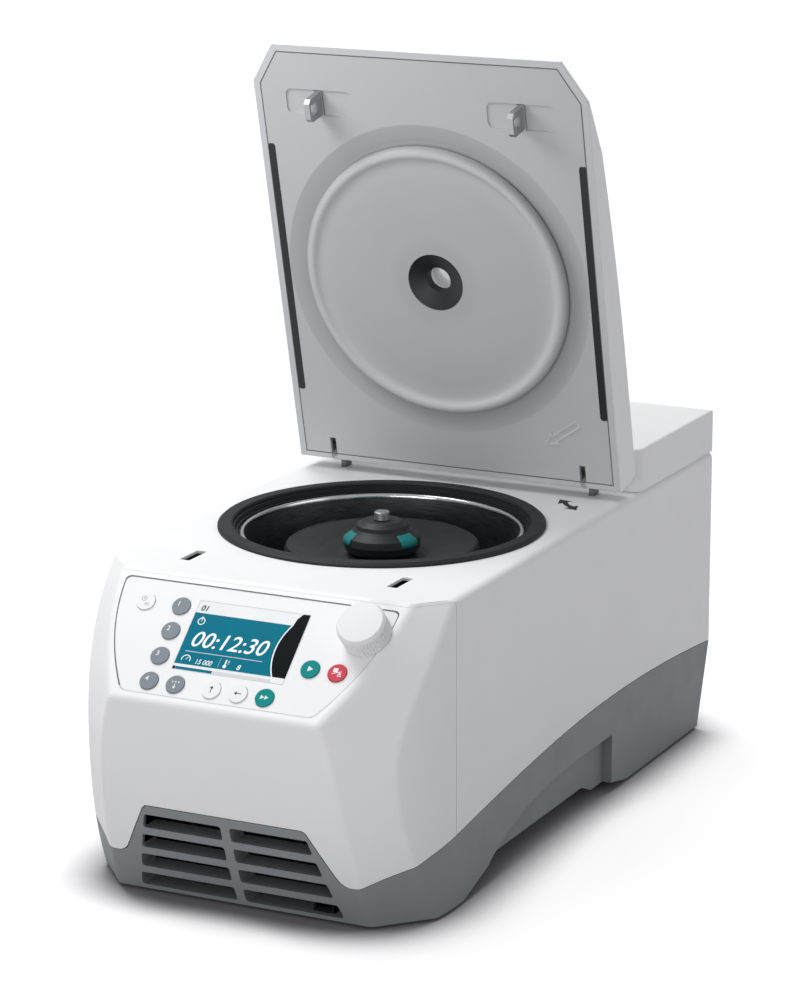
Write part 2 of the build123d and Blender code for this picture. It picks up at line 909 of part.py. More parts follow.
def evaporator_coil():
    # One unbroken tube wound round the bowl
    centre = bowl_inner + bowl_wall + tube_coil_radius + coil_gap
    first = bowl_floor_z + bowl_corner + tube_coil_radius
    path = Helix(pitch=coil_pitch, height=coil_turns * coil_pitch, radius=centre)
    start = Plane(origin=path @ 0, z_dir=path % 0)
    tube = sweep(start * Circle(tube_coil_radius), path=path, is_frenet=True)
    return Pos(0, chamber_y, first) * tube


def chamber_insulation():
    inside = bowl_inner + bowl_wall + 2 * (tube_coil_radius + coil_gap)
    low = bowl_floor_z - bowl_wall - fit_gap
    return turned(
        (bowl_hole + 4, low - foam_floor),
        (foam_outer, low - foam_floor),
        (foam_outer, bowl_flange_z - bowl_wall - fit_gap),
        (inside, bowl_flange_z - bowl_wall - fit_gap),
        (inside, low + bowl_corner),
        (inside - bowl_corner, low),
        (bowl_hole + 4, low),
    )


def guard_ring():
    foot_z = bowl_floor_z - guard_below
    return turned(
        (guard_inner, foot_z),
        (guard_outer, foot_z),
        (guard_outer, deck_z - sheet),
        (guard_inner, deck_z - sheet),
    )


def chassis_plate():
    plate = slab(-chassis_half, chassis_half, chassis_front_y, chassis_rear_y, chassis_z, chassis_top_z)
    back = foot_rear_y + 2
    for side in (-1, 1):
        left, right = side * chassis_leg_x - chassis_leg_half, side * chassis_leg_x + chassis_leg_half
        plate += slab(left, right, back - chassis_leg_length, back, floor_gap + shell_wall, chassis_z)
    return plate


def buffer_places():
    step = 2 * pi / 3
    return [(buffer_circle * sin(k * step), chamber_y + buffer_circle * cos(k * step)) for k in range(3)]


def rubber_mounts():
    low = chassis_top_z
    mounts = [post(x, y, low, motor_foot_z - mount_plate, buffer_radius) for x, y in buffer_places()]
    for sx in (-1, 1):
        for sy in (-1, 1):
            x, y = compressor_x + sx * compressor_foot_x, compressor_y + sy * compressor_foot_y
            mounts.append(post(x, y, low, low + compressor_lift, compressor_foot_radius))
    return mounts


def motor_housing():
    inside, fit = motor_radius - motor_wall, shaft_radius + running_fit
    can = post(0, chamber_y, motor_foot_z, motor_top_z, motor_radius)
    can += post(0, chamber_y, motor_foot_z - mount_plate, motor_foot_z + 1, mount_plate_radius)
    can -= post(0, chamber_y, motor_foot_z + motor_wall, motor_top_z - motor_wall, inside)
    can -= post(0, chamber_y, motor_foot_z + 1, motor_foot_z + motor_wall + 1, fit)
    return can - post(0, chamber_y, motor_top_z - motor_wall - 1, motor_top_z + 1, fit)


def motor_stator():
    low, high = motor_foot_z + motor_shoulder, motor_top_z - motor_shoulder
    ring = post(0, chamber_y, low, high, motor_radius - motor_wall - 0.1)
    return ring - post(0, chamber_y, motor_foot_z, motor_top_z, stator_inner)


def motor_rotor():
    low, high = motor_foot_z + motor_shoulder, motor_top_z - motor_shoulder
    core = post(0, chamber_y, low, high, stator_inner - 0.5)
    return core - post(0, chamber_y, motor_foot_z, motor_top_z, shaft_radius)


def drive_shaft():
    shaft = post(0, chamber_y, shaft_foot_z, shaft_top_z, shaft_radius)
    hole = nut_stem_radius + running_fit
    return shaft - post(0, chamber_y, shaft_top_z - nut_hole, shaft_top_z + 1, hole)


def shaft_seal():
    ring = post(0, chamber_y, motor_top_z, bowl_floor_z + 3, bowl_hole - fit_gap)
    ring += post(0, chamber_y, bowl_floor_z + 0.2, bowl_floor_z + 3, bowl_hole + 4)
    return ring - post(0, chamber_y, motor_top_z - 1, bowl_floor_z + 5, shaft_radius + 0.4)


def rotor():
    lean = radians(tube_angle)
    mouth_low = mouth_radius - mouth_step, mouth_z - mouth_step
    mouth_high = mouth_radius + mouth_rim, mouth_z + mouth_rim
    block = turned(
        (shaft_radius + running_fit, rotor_foot_z),
        (rotor_foot_radius - 4, rotor_foot_z),
        (rotor_foot_radius, rotor_foot_z + 8),
        (rotor_top_radius, rotor_top_z),
        (mouth_high[0] + 2, rotor_top_z),
        mouth_high,
        mouth_low,
        (rotor_hub_radius, mouth_low[1]),
        (rotor_hub_radius, rotor_hub_top_z),
        (shaft_radius + running_fit, rotor_hub_top_z),
    )
    reach = tube_depth + 20
    centre_r = mouth_radius + (reach / 2 - 20) * sin(lean)
    centre_z = mouth_z - (reach / 2 - 20) * cos(lean)
    bore = Pos(centre_r, 0, centre_z) * Rot(0, 180 - tube_angle, 0) * Cylinder(tube_radius, reach)
    for k in range(tube_count):
        block -= Pos(0, chamber_y, 0) * Rot(0, 0, k * 360 / tube_count) * bore
    return block


def rotor_lid():
    rim = dish_rim_z
    return turned(
        (grip_stem_radius + fit_gap, dish_floor_z - dish_wall),
        (30.0, dish_floor_z - dish_wall),
        (mouth_radius + mouth_rim, rotor_top_z + 0.2),
        (rotor_top_radius, rotor_top_z + 0.2),
        (rotor_top_radius + 0.6, rim - 5),
        (dish_radius + 0.8, rim - 1),
        (dish_radius - 0.6, rim),
        (dish_radius - 2.0, rim - 0.6),
        (46.0, dish_floor_z + 2.4),
        (34.0, dish_floor_z),
        (grip_stem_radius + fit_gap, dish_floor_z),
    )


def rotor_lid_grip():
    low = dish_floor_z + 0.2
    barrel = turned(
        (nut_stem_radius + running_fit, dish_floor_z - dish_wall - 4),
        (grip_stem_radius, dish_floor_z - dish_wall - 4),
        (grip_stem_radius, low),
        (grip_barrel_radius - 5, low),
        (grip_barrel_radius - 1.2, low + 4),
        (grip_barrel_radius, low + 9),
        (grip_barrel_radius - 1.5, grip_barrel_top_z - 4),
        (grip_barrel_radius - 7, grip_barrel_top_z),
        (grip_cap_radius + 1, grip_barrel_top_z + 1.6),
        (grip_cap_radius, grip_cap_top_z - 3),
        (grip_cap_radius - 5, grip_cap_top_z),
        (nut_stem_radius + running_fit, grip_cap_top_z),
    )
    return barrel


def rotor_nut():
    knob = post(0, chamber_y, nut_foot_z, nut_top_z, nut_radius)
    knob = chamfer(knob.edges().sort_by(Axis.Z)[-1], 0.5)
    return knob + post(0, chamber_y, shaft_top_z - nut_hole + 2, nut_foot_z + 0.5, nut_stem_radius)


def condenser():
    y0, y1 = condenser_front_y, condenser_front_y + condenser_depth
    core = slab(-condenser_half, condenser_half, y0, y1, condenser_foot_z, condenser_top_z)
    low, high = condenser_foot_z + condenser_frame, condenser_top_z - condenser_frame
    pitch = 2 * (condenser_half - condenser_frame) / fin_count
    for k in range(fin_count):
        x = condenser_frame - condenser_half + k * pitch
        core -= slab(x + fin_half, x + pitch - fin_half, y0 - 1, y0 + fin_depth, low, high)
    return core


def fan_centre():
    back = condenser_front_y + condenser_depth + 0.2
    return back, back + fan_depth, condenser_foot_z + fan_side / 2


def condenser_fan_frame():
    y0, y1, z = fan_centre()
    s, w = fan_side / 2, fan_strut_half
    frame = slab(-s, s, y0, y1, z - s, z + s)
    frame -= Pos(0, (y0 + y1) / 2, z) * Rot(90, 0, 0) * Cylinder(s - fan_wall, fan_depth + 2)
    frame += slab(1 - s, s - 1, y1 - 3, y1, z - w, z + w)
    frame += slab(-w, w, y1 - 3, y1, z - s + 1, z + s - 1)
    frame += Pos(0, y1 - 1.5, z) * Rot(90, 0, 0) * Cylinder(fan_hub_radius, 3)
    return frame + Pos(0, y1 - 8, z) * Rot(90, 0, 0) * Cylinder(fan_pin_radius, 12)


def condenser_fan_blades():
    y0, y1, z = fan_centre()
    hub_depth = fan_depth - 8
    wheel = Rot(90, 0, 0) * Cylinder(fan_hub_radius, hub_depth)
    reach = fan_side / 2 - fan_wall - fan_hub_radius
    blade = Box(reach, fan_blade_width, fan_blade_thick)
    blade = Pos(fan_hub_radius + reach / 2 - 2, 0, 0) * Rot(fan_blade_pitch, 0, 0) * blade
    for k in range(fan_blades_count):
        wheel += Rot(0, k * 360 / fan_blades_count, 0) * blade
    wheel &= Rot(90, 0, 0) * Cylinder(fan_side / 2 - fan_wall - 1, hub_depth)
    wheel -= Pos(0, 4, 0) * Rot(90, 0, 0) * Cylinder(fan_pin_radius + running_fit, hub_depth)
    return Pos(0, y0 + 1 + hub_depth / 2, z) * wheel


def compressor():
    low = chassis_top_z + compressor_lift
    pot = post(compressor_x, compressor_y, low + 2, compressor_top_z, compressor_radius)
    pot = fillet(pot.edges().filter_by(GeomType.CIRCLE), compressor_round)
    x, y = compressor_foot_x + 8, compressor_foot_y + 8
    base = slab(
        compressor_x - x, compressor_x + x, compressor_y - y, compressor_y + y,
        low, low + compressor_plate,
    )
    return pot + base


def tube_along(points, bend, radius):
    path = FilletPolyline(*points, radius=bend)
    start = Plane(origin=path @ 0, z_dir=path % 0)
    return sweep(start * Circle(radius), path=path)


def discharge_pipe():
    z = compressor_top_z - pipe_drop
    x = compressor_x + compressor_radius
    far_x = x + pipe_reach
    points = [
        (x + 0.2, compressor_y, z),
        (far_x, compressor_y, z),
        (far_x, compressor_y, pipe_low_z),
        (far_x, drier_y + 0.2, pipe_low_z),
    ]
    return tube_along(points, pipe_bend, pipe_radius)


def filter_drier():
    x = compressor_x + compressor_radius + pipe_reach
    middle = drier_y - drier_length / 2
    return Pos(x, middle, pipe_low_z) * Rot(90, 0, 0) * Cylinder(drier_radius, drier_length)


def power_board():
    x = half - power_side
    back = rear_y - power_inset
    front = back - power_length
    low = chassis_top_z + power_low
    board = slab(x, x + board_thick, front, back, low, low + power_tall)
    for run, rise, size in ((20, 18, 16), (50, 30, 22), (84, 16, 14)):
        y, z, s = front + run, low + rise, size / 2
        board += slab(x - size, x + 0.2, y - s, y + s, z - s, z + s)
    left, right = x - power_foot_half - 3, x + power_foot_half - 3
    return board + slab(left, right, front + 2, back - 4, chassis_top_z, low + 0.5)


def usb_socket():
    low, high = slot_first_z + 0.1, slot_first_z + slot_height - 0.1
    middle = (low + high) / 2
    x0, x1 = socket_x - socket_width / 2, socket_x + socket_width / 2
    y0, y1 = socket_front_y, socket_front_y + socket_length
    block = slab(x0, x1, y0, y1, low, high)
    sill, head = middle - socket_mouth / 2, middle + socket_mouth / 2
    left, right = x0 + socket_wall, x1 - socket_wall
    mouth = slab(left, right, y0 - 1, y1 - 4, sill, head)
    tongue = slab(left + 1.2, right - 1.2, y0 + 1, y1 - 3, sill - 0.1, sill + socket_tongue)
    return block - mouth + tongue


def lid_side_profile(inset):
    # Closed lid from the side: square back, long falling top, thin nose
    def at(s, rise):
        return (lid_rear_y - s, lid_seat_z + rise)

    full = height - lid_seat_z - inset
    nose_s, nose_rise = lid_length - inset, lid_nose_rise - inset
    top = Spline(
        at(nose_s, nose_rise),
        at(lid_length - lid_shoulder_run, lid_shoulder_share * (full + inset) - inset),
        at(lid_length - lid_back_run, lid_back_share * (full + inset) - inset),
        at(20, full),
        tangents=((1.0, 0.42), (1.0, 0.0)),
    )
    rest = Polyline(
        at(20, full), at(inset + 2.5, full), at(inset, full - 2.5), at(inset, 1.5),
        at(inset + 1.5, 0), at(nose_s, 0), at(nose_s, nose_rise),
    )
    return make_face(top + rest)


def lid_plan(inset):
    nose_y = lid_rear_y - lid_length
    shoulder_y = nose_y + lid_nose_length
    outline = Polyline(
        (-half, lid_rear_y),
        (half, lid_rear_y),
        (half, shoulder_y),
        (lid_nose_half, nose_y),
        (-lid_nose_half, nose_y),
        (-half, shoulder_y),
        close=True,
    )
    return inward(make_face(outline), inset)


def lid_corner(side, inset):
    # The lid's top falls away towards its cut front corners
    run_x, run_y = half - lid_nose_half, lid_nose_length
    span = sqrt(run_x**2 + run_y**2)
    out = (side * run_y / span, -run_x / span, 0)
    edge_y = lid_rear_y - lid_length + lid_nose_length
    edge = half * run_y / span - edge_y * run_x / span
    along = Vector(*out).cross(Vector(0, 0, 1))
    rim = lid_seat_z + lid_corner_rise - inset
    reach = 100.0
    face = make_face(
        Polyline(
            (edge + 10, 0), (edge + 10, rim - 10 * lid_corner_slope),
            (edge - reach, rim + reach * lid_corner_slope), (-far, rim + reach * lid_corner_slope),
            (-far, 0), close=True,
        )
    )
    return extrude(Plane(origin=(0, 0, 0), x_dir=out, z_dir=along) * face, amount=far, both=True)


def lid_block(side_inset, top_inset, low=0.0):
    solid = across(Plane.YZ * lid_side_profile(top_inset), half + 10)
    if low:
        front, back = lid_rear_y - lid_length + top_inset, lid_rear_y - top_inset
        solid += slab(-half, half, front, back, lid_seat_z - low, lid_seat_z + 0.1)
    solid &= extrude(Pos(0, 0, lid_seat_z - 40) * lid_plan(side_inset), amount=100)
    for side in (-1, 1):
        solid &= lid_corner(side, top_inset)
    return solid


def hinge_slot(side):
    x = side * hinge_x
    w = hinge_plate / 2 + 0.5
    front = hinge_y - hinge_width / 2 - 1.3
    return slab(x - w, x + w, front, lid_rear_y + 10, lid_seat_z - 10, height - lid_wall + 0.2)


def sight_hole(radius):
    return post(0, chamber_y, lid_seat_z - 20, height + 10, radius)


def lid_shell():
    shell = lid_block(0, 0) - lid_block(lid_lip - 0.4, lid_wall, 20)
    for side in (-1, 1):
        x, deep = side * hinge_x, hinge_width / 2 + 1.5
        left, right = x - hinge_ear, x + hinge_ear
        roof = height - lid_wall + 0.5
        shell += slab(left, right, hinge_y - deep, hinge_y + deep, hinge_z - deep + 0.5, roof)
        shell -= bore_x(left - 0.5, right + 0.5, hinge_y, hinge_z, hinge_pin_radius + 0.02)
        shell -= hinge_slot(side)
    return shell - sight_hole(sight_radius + sight_wall + fit_gap)


def lid_inner_panel():
    low = lid_seat_z
    cover = lid_block(lid_lip, 0) & slab(-half, half, -far, far, low, low + lid_panel)
    cover &= lid_block(lid_lip, lid_wall + fit_gap, 20)
    cover -= turned(
        (disc_radius - 6, low - 1),
        (moat_radius, low - 1),
        (moat_radius, low),
        (disc_radius + 3, low + moat_depth),
        (disc_radius - 6, low + moat_depth),
    )
    front, back = lid_rear_y - lid_length + slit_front_run, lid_rear_y - slit_rear_run
    slit = slab(half - lid_lip - slit_width, half, front, back, low - 1, low + slit_depth)
    for side in (-1, 1):
        x, w, l = side * hook_x, hook_pad_half, hook_pad_width / 2
        pad = Pos(x, hook_y, low - 1) * RectangleRounded(2 * w, 2 * l, hook_pad_round)
        cover -= extrude(pad, amount=hook_pad_depth + 1)
        cover -= slit if side > 0 else mirror(slit, Plane.YZ)
        cover -= hinge_slot(side)
    return cover - sight_hole(bushing_radius + fit_gap)


def lid_disc():
    # Rounded bead at the rim, then a gently hollow face
    low = lid_seat_z - disc_drop
    inside, floor = bushing_radius + fit_gap, low + disc_dish
    bend = disc_bead * sin(radians(45))
    top, waist = (disc_radius - disc_bead, low), (disc_radius, low + disc_bead)
    foot = (top[0] - bend, waist[1] - bend)
    bead = ThreePointArc(waist, top, foot)
    face = Spline(
        foot, (disc_radius - disc_blend, floor - 0.4), (inside, floor),
        tangents=((-1.0, 1.0), (-1.0, 0.0)),
    )
    rest = Polyline((inside, floor), (inside, lid_seat_z), (disc_radius, lid_seat_z), waist)
    return Pos(0, chamber_y, 0) * revolve(Plane.XZ * make_face(bead + face + rest), Axis.Z)


def bushing_low():
    return lid_seat_z - disc_drop + disc_dish + fit_gap


def viewport_bushing():
    low, top = bushing_low(), height - lid_wall - 1.6
    inside, neck = sight_radius + 0.2, sight_radius + sight_wall
    return turned(
        (inside, low + bushing_cone),
        (bushing_radius, low),
        (bushing_radius, low + bushing_lip),
        (neck, low + bushing_lip),
        (neck, top),
        (inside, top),
    )


def viewport_glass():
    low = bushing_low() + sight_glass_inset
    return post(0, chamber_y, low, low + sight_glass, sight_radius)


def latch_hooks():
    hooks = []
    for side in (-1, 1):
        x = side * hook_x
        top = lid_seat_z + 1
        plate = slab(
            x - hook_plate / 2, x + hook_plate / 2, hook_y - hook_width / 2, hook_y + hook_width / 2,
            lid_seat_z - hook_drop, top,
        )
        plate = chamfer(plate.edges().filter_by(Axis.X).group_by(Axis.Z)[0], 3)
        s = hook_hole / 2
        plate -= slab(x - 10, x + 10, hook_y - s, hook_y + s, bolt_z - s, bolt_z + s)
        w, l = hook_foot_half, hook_width / 2 + 0.5
        hooks.append(plate + slab(x - w, x + w, hook_y - l, hook_y + l, top - 2, top))
    return hooks


def hinge_pins():
    pins = []
    for side in (-1, 1):
        x = side * hinge_x
        pins.append(bore_x(x - hinge_ear, x + hinge_ear, hinge_y, hinge_z, hinge_pin_radius))
    return pins


def hinge_brackets():
    brackets = []
    for side in (-1, 1):
        x = side * hinge_x
        t, w = hinge_plate / 2, hinge_width / 2
        under = deck_z - sheet
        upright = slab(x - t, x + t, hinge_y - w, hinge_y + w, under - 4, hinge_z)
        upright += bore_x(x - t, x + t, hinge_y, hinge_z, w)
        wide, long = hinge_foot, hinge_width / 2 + 6
        upright += slab(x - wide, x + wide, hinge_y - long, hinge_y + long, under - 4, under)
        upright -= bore_x(x - wide, x + wide, hinge_y, hinge_z, hinge_pin_radius + running_fit)
        brackets.append(upright)
    return brackets


def lock_housings():
    return [lock_housing(-1), lock_housing(1)]


def lock_housing(side):
    # Made for the right side and mirrored for the left
    top, rear = deck_z - sheet, hook_y + lock_length / 2
    block = slab(
        hook_x - lock_inner, hook_x + lock_outer, rear - lock_length, rear, bolt_z - lock_below, top
    )
    block -= lock_slot(1, bolt_z - 20, top + 1)
    s = bolt_side / 2 + fit_gap
    start, end = hook_x - lock_inner - 1, hook_x + slot_width
    block -= slab(start, end, hook_y - s, hook_y + s, bolt_z - s, bolt_z + s)
    return block if side > 0 else mirror(block, Plane.YZ)


def lock_bolt(side):
    tip = hook_x - hook_plate / 2 - 2.4
    s = bolt_side / 2
    bolt = slab(tip - bolt_length, tip, hook_y - s, hook_y + s, bolt_z - s, bolt_z + s)
    return bolt if side > 0 else mirror(bolt, Plane.YZ)


def opened(piece):
    hinge = Axis((0, hinge_y, hinge_z), (1, 0, 0))
    if isinstance(piece, list):
        return [item.rotate(hinge, -lid_opening) for item in piece]
    return piece.rotate(hinge, -lid_opening)


os.makedirs("parts", exist_ok=True)
outer = soft_body()
thin_inner = body(sheet)
shell_inner = body(shell_wall)
thick_inner = body(panel_wall)

save("base_housing", base_housing(outer, shell_inner))
save("rubber_feet", rubber_feet())
save("main_housing", main_housing(outer, thin_inner))
save("front_housing", front_housing(outer, thick_inner))
save("rear_cover", rear_cover())
save("rear_panel", rear_panel())
save("mains_module", mains_module())
save("power_switch_rocker", power_switch_rocker())
save("panel_plate", panel_plate())
for name, x, d in key_places():
    save(name, key(x, d))
save("display_glass", display_glass())
save("display_module", display_module())
save("control_board", control_board())
save("control_knob", control_knob())
save("knob_encoder", knob_encoder())
save("rim_gasket", rim_gasket())
save("chamber_bowl", chamber_bowl())
save("evaporator_coil", evaporator_coil())
save("chamber_insulation", chamber_insulation())
save("guard_ring", guard_ring())
save("chassis_plate", chassis_plate())
save("rubber_mounts", rubber_mounts())
save("motor_housing", motor_housing())
save("motor_stator", motor_stator())
save("motor_rotor", motor_rotor())
save("drive_shaft", drive_shaft())
save("shaft_seal", shaft_seal())
save("rotor", rotor())
save("rotor_lid", rotor_lid())
save("rotor_lid_grip", rotor_lid_grip())
save("rotor_nut", rotor_nut())
save("condenser", condenser())
save("condenser_fan_frame", condenser_fan_frame())
save("condenser_fan_blades", condenser_fan_blades())
save("compressor", compressor())
save("discharge_pipe", discharge_pipe())
save("filter_drier", filter_drier())
save("power_board", power_board())
save("usb_socket", usb_socket())
save("lid_shell", opened(lid_shell()))
save("lid_inner_panel", opened(lid_inner_panel()))
save("lid_disc", opened(lid_disc()))
save("viewport_bushing", opened(viewport_bushing()))
save("viewport_glass", opened(viewport_glass()))
save("latch_hooks", opened(latch_hooks()))
save("hinge_pins", opened(hinge_pins()))
save("hinge_brackets", hinge_brackets())
save("lock_housings", lock_housings())
save("lock_bolt_left", lock_bolt(-1))
save("lock_bolt_right", lock_bolt(1))
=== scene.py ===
from math import atan2, cos, hypot, pi, radians, sin

import bmesh
import bpy
from mathutils import Matrix, Vector


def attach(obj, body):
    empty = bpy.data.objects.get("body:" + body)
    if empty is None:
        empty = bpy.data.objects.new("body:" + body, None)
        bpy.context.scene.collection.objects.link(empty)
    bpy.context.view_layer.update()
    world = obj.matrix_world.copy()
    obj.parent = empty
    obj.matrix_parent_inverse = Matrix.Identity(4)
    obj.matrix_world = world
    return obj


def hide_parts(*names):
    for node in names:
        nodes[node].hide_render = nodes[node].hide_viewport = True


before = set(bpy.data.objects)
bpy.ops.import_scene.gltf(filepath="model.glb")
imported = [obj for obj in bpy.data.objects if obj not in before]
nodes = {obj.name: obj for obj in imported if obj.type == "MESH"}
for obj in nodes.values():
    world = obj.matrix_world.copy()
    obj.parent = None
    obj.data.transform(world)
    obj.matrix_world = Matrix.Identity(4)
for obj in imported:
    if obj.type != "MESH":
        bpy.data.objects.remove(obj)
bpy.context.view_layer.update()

MM = 0.001
DECK_Z = 226.0 * MM
CHAMBER_Y = -29.0 * MM

# control panel: the middle of its edge at the deck, and its own directions
PANEL_O = Vector((0, -209.0 * MM, DECK_Z))
PANEL_X = Vector((1, 0, 0))
PANEL_UP = Vector((0, 78.5, 70.0)).normalized()
PANEL_N = Vector((0, -70.0, 78.5)).normalized()

# lid: its hinge axis, how far it stands open, where it lies when closed, and how far in mm
# the middle of its disc is from its hinge edge
HINGE = Vector((0, 119.3 * MM, 252.1 * MM))
LID_OPEN = radians(77.2)
LID_SEAT = 230.0 * MM
LID_REAR = 132.0 * MM
DISC_S = 161.0


def lid_point(x, s, rise):
    """Point on the open lid: x across, s from its hinge edge, rise above its closed seat; mm."""
    p = Vector((x * MM, LID_REAR - s * MM, LID_SEAT + rise * MM)) - HINGE
    return Matrix.Rotation(-LID_OPEN, 3, "X") @ p + HINGE


# ---------------------------------------------------------------- shader nodes
# noise scales of the broad tints and of the roughness, the span that noise values mostly
# fill, and how strongly plain mouldings reflect
CLOUD, MOTTLE = 14.0, 60.0
NOISE_LOW, NOISE_HIGH = 0.3, 0.7
SHINE = 0.35


def lin(r, g, b):
    """Linear colour of three screen values from 0 to 255."""
    def one(v):
        v = v / 255.0
        return v / 12.92 if v <= 0.04045 else ((v + 0.055) / 1.055) ** 2.4

    return (one(r), one(g), one(b), 1.0)


def shade(colour, factor):
    return tuple(min(1.0, part * factor) for part in colour[:3]) + (1.0,)


def base_material(name):
    mat = bpy.data.materials.new(name)
    mat.use_nodes = True
    tree = mat.node_tree
    bsdf = tree.nodes["Principled BSDF"]
    place = tree.nodes.new("ShaderNodeTexCoord")
    return mat, tree, bsdf, place.outputs["Object"]


def feed(tree, value, socket):
    """Link another node's output to a socket, or set the socket to a plain value."""
    if isinstance(value, bpy.types.NodeSocket):
        tree.links.new(value, socket)
    else:
        socket.default_value = value


def noise(tree, place, scale, detail=3.0, stretch=None):
    node = tree.nodes.new("ShaderNodeTexNoise")
    node.inputs["Scale"].default_value = scale
    node.inputs["Detail"].default_value = detail
    if stretch:
        mapping = tree.nodes.new("ShaderNodeMapping")
        mapping.inputs["Scale"].default_value = stretch
        tree.links.new(place, mapping.inputs["Vector"])
        place = mapping.outputs["Vector"]
    tree.links.new(place, node.inputs["Vector"])
    return node.outputs["Fac"]


def ramp(tree, fac, low, high):
    node = tree.nodes.new("ShaderNodeValToRGB")
    first, last = node.color_ramp.elements
    first.position, last.position = NOISE_LOW, NOISE_HIGH
    first.color, last.color = low, high
    tree.links.new(fac, node.inputs["Fac"])
    return node.outputs["Color"]


def tinted(tree, fac, colour, vary):
    """The colour, by turns a little darker and a little lighter."""
    return ramp(tree, fac, shade(colour, 1 - vary), shade(colour, 1 + vary))


def spread(tree, value, low, high, start=NOISE_LOW, end=NOISE_HIGH, kind="LINEAR"):
    """The span from start to end laid over the span from low to high."""
    node = tree.nodes.new("ShaderNodeMapRange")
    node.interpolation_type = kind
    node.inputs["From Min"].default_value = start
    node.inputs["From Max"].default_value = end
    node.inputs["To Min"].default_value = low
    node.inputs["To Max"].default_value = high
    tree.links.new(value, node.inputs["Value"])
    return node.outputs["Result"]


def bump(tree, bsdf, fac, depth):
    node = tree.nodes.new("ShaderNodeBump")
    node.inputs["Strength"].default_value = 1.0
    node.inputs["Distance"].default_value = depth
    tree.links.new(fac, node.inputs["Height"])
    tree.links.new(node.outputs["Normal"], bsdf.inputs["Normal"])


def math_node(tree, operation, first, second):
    node = tree.nodes.new("ShaderNodeMath")
    node.operation = operation
    tree.links.new(first, node.inputs[0])
    tree.links.new(second, node.inputs[1])
    return node.outputs[0]


def mixed(tree, fac, first, second, blend="MIX"):
    node = tree.nodes.new("ShaderNodeMix")
    node.data_type = "RGBA"
    node.blend_type = blend
    feed(tree, fac, node.inputs["Factor"])
    feed(tree, first, node.inputs["A"])
    feed(tree, second, node.inputs["B"])
    return node.outputs["Result"]


def along(tree, place, origin, direction):
    """How far a point lies from the origin along a unit direction, in metres."""
    shift = tree.nodes.new("ShaderNodeVectorMath")
    shift.operation = "SUBTRACT"
    tree.links.new(place, shift.inputs[0])
    shift.inputs[1].default_value = origin
    reach = tree.nodes.new("ShaderNodeVectorMath")
    reach.operation = "DOT_PRODUCT"
    tree.links.new(shift.outputs["Vector"], reach.inputs[0])
    reach.inputs[1].default_value = direction
    return reach.outputs["Value"]


# ---------------------------------------------------------------- materials
def skin(tree, bsdf, place, rough, grain, depth, shine=SHINE):
    """Slightly uneven roughness and a fine grain, as on moulded and painted faces."""
    uneven = spread(tree, noise(tree, place, MOTTLE), rough - 0.04, rough + 0.04)
    tree.links.new(uneven, bsdf.inputs["Roughness"])
    bump(tree, bsdf, noise(tree, place, grain, 2.0), depth)
    bsdf.inputs["Specular IOR Level"].default_value = shine


def plastic(name, colour, rough, vary=0.03, grain=9000.0, depth=0.00002, shine=SHINE):
    mat, tree, bsdf, place = base_material(name)
    tint = tinted(tree, noise(tree, place, CLOUD), colour, vary)
    tree.links.new(tint, bsdf.inputs["Base Color"])
    skin(tree, bsdf, place, rough, grain, depth, shine)
    return mat


def lid_shell_paint(name):
    """White outer skin; the moulded lip that faces the machine is light grey."""
    mat, tree, bsdf, place = base_material(name)
    cloud = noise(tree, place, CLOUD)
    seat = lid_point(0, 0, 0)
    outward = (lid_point(0, 0, 1) - seat).normalized()
    rise = along(tree, place, seat, outward)
    past_lip = spread(tree, rise, 0.0, 1.0, 0.3 * MM, 0.8 * MM)
    tint = mixed(tree, past_lip, tinted(tree, cloud, LIP, 0.01), tinted(tree, cloud, WHITE, 0.01))
    tree.links.new(tint, bsdf.inputs["Base Color"])
    skin(tree, bsdf, place, 0.42, 5200.0, 0.000012)
    return mat


# how light the lid's moulding is at each radius from the disc's middle, in mm: painted shade in
# the ring round the bushing and in the moat, a painted highlight on the disc's rim bead
LID_PAINTED_LIGHT_RINGS = ((0.0, 0.85), (31.0, 0.86), (38.0, 0.91), (82.0, 0.92), (97.0, 0.99),
             (103.5, 1.06), (107.0, 0.72), (116.0, 0.8), (123.6, 0.86), (124.6, 0.99))
RING_SPAN = 200.0


def lid_moulding_painted_shade(name):
    """Light grey, with painted shade in the moat round the disc and in the ring round the bushing,
    and a painted highlight on the disc's rim bead.
    """
    mat, tree, bsdf, place = base_material(name)
    up_lid = (lid_point(0, 1, 0) - lid_point(0, 0, 0)).normalized()
    middle = lid_point(0, DISC_S, 0)
    flat = tree.nodes.new("ShaderNodeCombineXYZ")
    for index, direction in enumerate(((1, 0, 0), up_lid)):
        tree.links.new(along(tree, place, middle, direction), flat.inputs[index])
    length = tree.nodes.new("ShaderNodeVectorMath")
    length.operation = "LENGTH"
    tree.links.new(flat.outputs["Vector"], length.inputs[0])
    radius = spread(tree, length.outputs["Value"], 0.0, 1.0, 0.0, RING_SPAN * MM)
    # painted shade and painted highlight, laid on by radius from the disc's middle
    painted_rings = tree.nodes.new("ShaderNodeValToRGB")
    marks = painted_rings.color_ramp.elements
    while len(marks) < len(LID_PAINTED_LIGHT_RINGS):
        marks.new(0.5)
    for mark, (reach, level) in zip(marks, LID_PAINTED_LIGHT_RINGS):
        mark.position = reach / RING_SPAN
    for mark, (reach, level) in zip(marks, LID_PAINTED_LIGHT_RINGS):
        mark.color = shade(LID_GREY, level)
    tree.links.new(radius, painted_rings.inputs["Fac"])
    cloud = ramp(tree, noise(tree, place, CLOUD), (0.98, 0.98, 0.98, 1), (1, 1, 1, 1))
    tint = mixed(tree, 1.0, painted_rings.outputs["Color"], cloud, "MULTIPLY")
    tree.links.new(tint, bsdf.inputs["Base Color"])
    skin(tree, bsdf, place, 0.5, 3000.0, 0.00004)
    return mat


